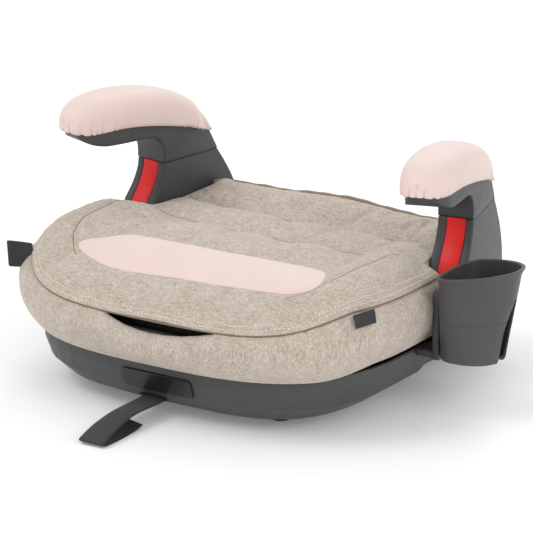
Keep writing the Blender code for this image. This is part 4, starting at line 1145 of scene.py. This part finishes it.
# ---------------------------------------------------------------- camera, light and floor
def build_stage():
    scene = bpy.context.scene
    azimuth, elevation, distance = 0.57272, 0.32055, 3.89789
    target = Vector((0.0, 0.0, 0.104))
    right = Vector((math.cos(azimuth), math.sin(azimuth), 0.0))
    look = Vector((-math.sin(azimuth) * math.cos(elevation), math.cos(azimuth) * math.cos(elevation),
                   -math.sin(elevation)))
    up = right.cross(look)
    target += right * 0.00396 - up * 0.00243
    data = bpy.data.cameras.new("camera")
    data.lens = 36.0 * 4000.0 / 533.0
    data.sensor_width = 36.0
    data.clip_start, data.clip_end = 0.1, 50.0
    camera = bpy.data.objects.new("camera", data)
    camera.location = target - look * distance
    camera.rotation_mode = "QUATERNION"
    camera.rotation_quaternion = look.to_track_quat("-Z", "Y")
    scene.collection.objects.link(camera)
    scene.camera = camera
    floor = new_object("floor", [(-6, -6, 0), (6, -6, 0), (6, 6, 0), (-6, 6, 0)], [(0, 1, 2, 3)])
    mat, tree, shader = nodes_of("floor")
    shader.inputs["Base Color"].default_value = (0.93, 0.93, 0.93, 1.0)
    shader.inputs["Roughness"].default_value = 0.75
    g = Graph(tree)
    tree.links.new(g.bump(g.noise(400.0), 0.02, 0.0002), shader.inputs["Normal"])
    shader.inputs["Emission Color"].default_value = (1.0, 1.0, 1.0, 1.0)
    shader.inputs["Emission Strength"].default_value = 0.13
    paint(floor, mat)
    world = bpy.data.worlds.new("studio")
    world.use_nodes = True
    background = world.node_tree.nodes["Background"]
    background.inputs["Color"].default_value = (1.0, 1.0, 1.0, 1.0)
    background.inputs["Strength"].default_value = 0.72
    scene.world = world
    scene.view_settings.view_transform = "Standard"
    for name, place_at, size, power, aim in (
            ("key", (-1.4, -1.4, 2.6), 1.6, 26.0, (0.0, 0.0, 0.08)),
            ("fill", (2.4, -0.8, 1.5), 1.4, 16.0, (0.0, 0.0, 0.08)),
            ("rear", (-0.6, 2.2, 1.9), 1.6, 16.0, (0.0, 0.0, 0.10))):
        light = bpy.data.lights.new(name, "AREA")
        light.shape = "DISK"
        light.size = size
        light.energy = power
        lamp = bpy.data.objects.new(name, light)
        lamp.location = place_at
        lamp.rotation_mode = "QUATERNION"
        lamp.rotation_quaternion = (Vector(aim) - Vector(place_at)).to_track_quat("-Z", "Y")
        scene.collection.objects.link(lamp)


# ---------------------------------------------------------------- assembly
dress_cad_nodes()
quilted = build_top()
lower_edge_lip(quilted)
build_stitches(quilted)
insert = build_panel(quilted)
place(insert, PINK, "pink_fabric", "seat_body", "insert_panel")
place(quilted, TOP_CLOTH, "melange_fabric", "seat_body", "cover_top", "comfort_foam")
place(build_band(), SIDE_CLOTH, "melange_fabric", "seat_body", "cover_band")
place(build_piping(), PIPING, "piping_fabric", "seat_body", "back_piping")
place(build_perimeter_seam(), SEAM_THREAD, "melange_fabric", "seat_body")
# painted shadow: near-black sheet behind the hand opening
place(build_slit_shadow_sheet(), PAINTED_SHADOW, "black_plastic", "seat_body")
place(build_grip_ledge(), CHARCOAL, "charcoal_plastic", "seat_body")
turn = math.radians(211.3)
root = np.array([-0.1757, -0.1391])
away = np.array([math.cos(turn), math.sin(turn)])
tag_corners = [(*(root + away * r), z) for r, z in ((-0.0010, 0.1065), (0.0230, 0.1085), (0.0245, 0.1355),
                                                      (-0.0010, 0.1325))]
place(build_tag("side_tag", tag_corners, 0.0010, 0.0008, 0.0011), WEBBING, "black_webbing", "seat_body", "left_tag")
lean = math.radians(68.8)
run_dir = np.array([math.cos(lean), math.sin(lean)])
off_dir = np.array([math.sin(lean), -math.cos(lean)])
tag_mid = np.array([0.1947, -0.1246])
flat_corners = [(*(tag_mid + run_dir * r + off_dir * o), z) for r, o, z in
                ((-0.0130, 0.0012, 0.1130), (0.0110, 0.0012, 0.1145), (0.0125, -0.0040, 0.1270),
                 (-0.0130, -0.0040, 0.1250))]
place(build_tag("hem_tag", flat_corners, 0.0008, 0.0006, 0.0010), WEBBING, "black_webbing", "seat_body", "right_tag")
build_posts()
build_arms()
for side, word in ((-1, "left"), (1, "right")):
    build_pad(side, word)
build_cup()
build_strap()
build_stage()
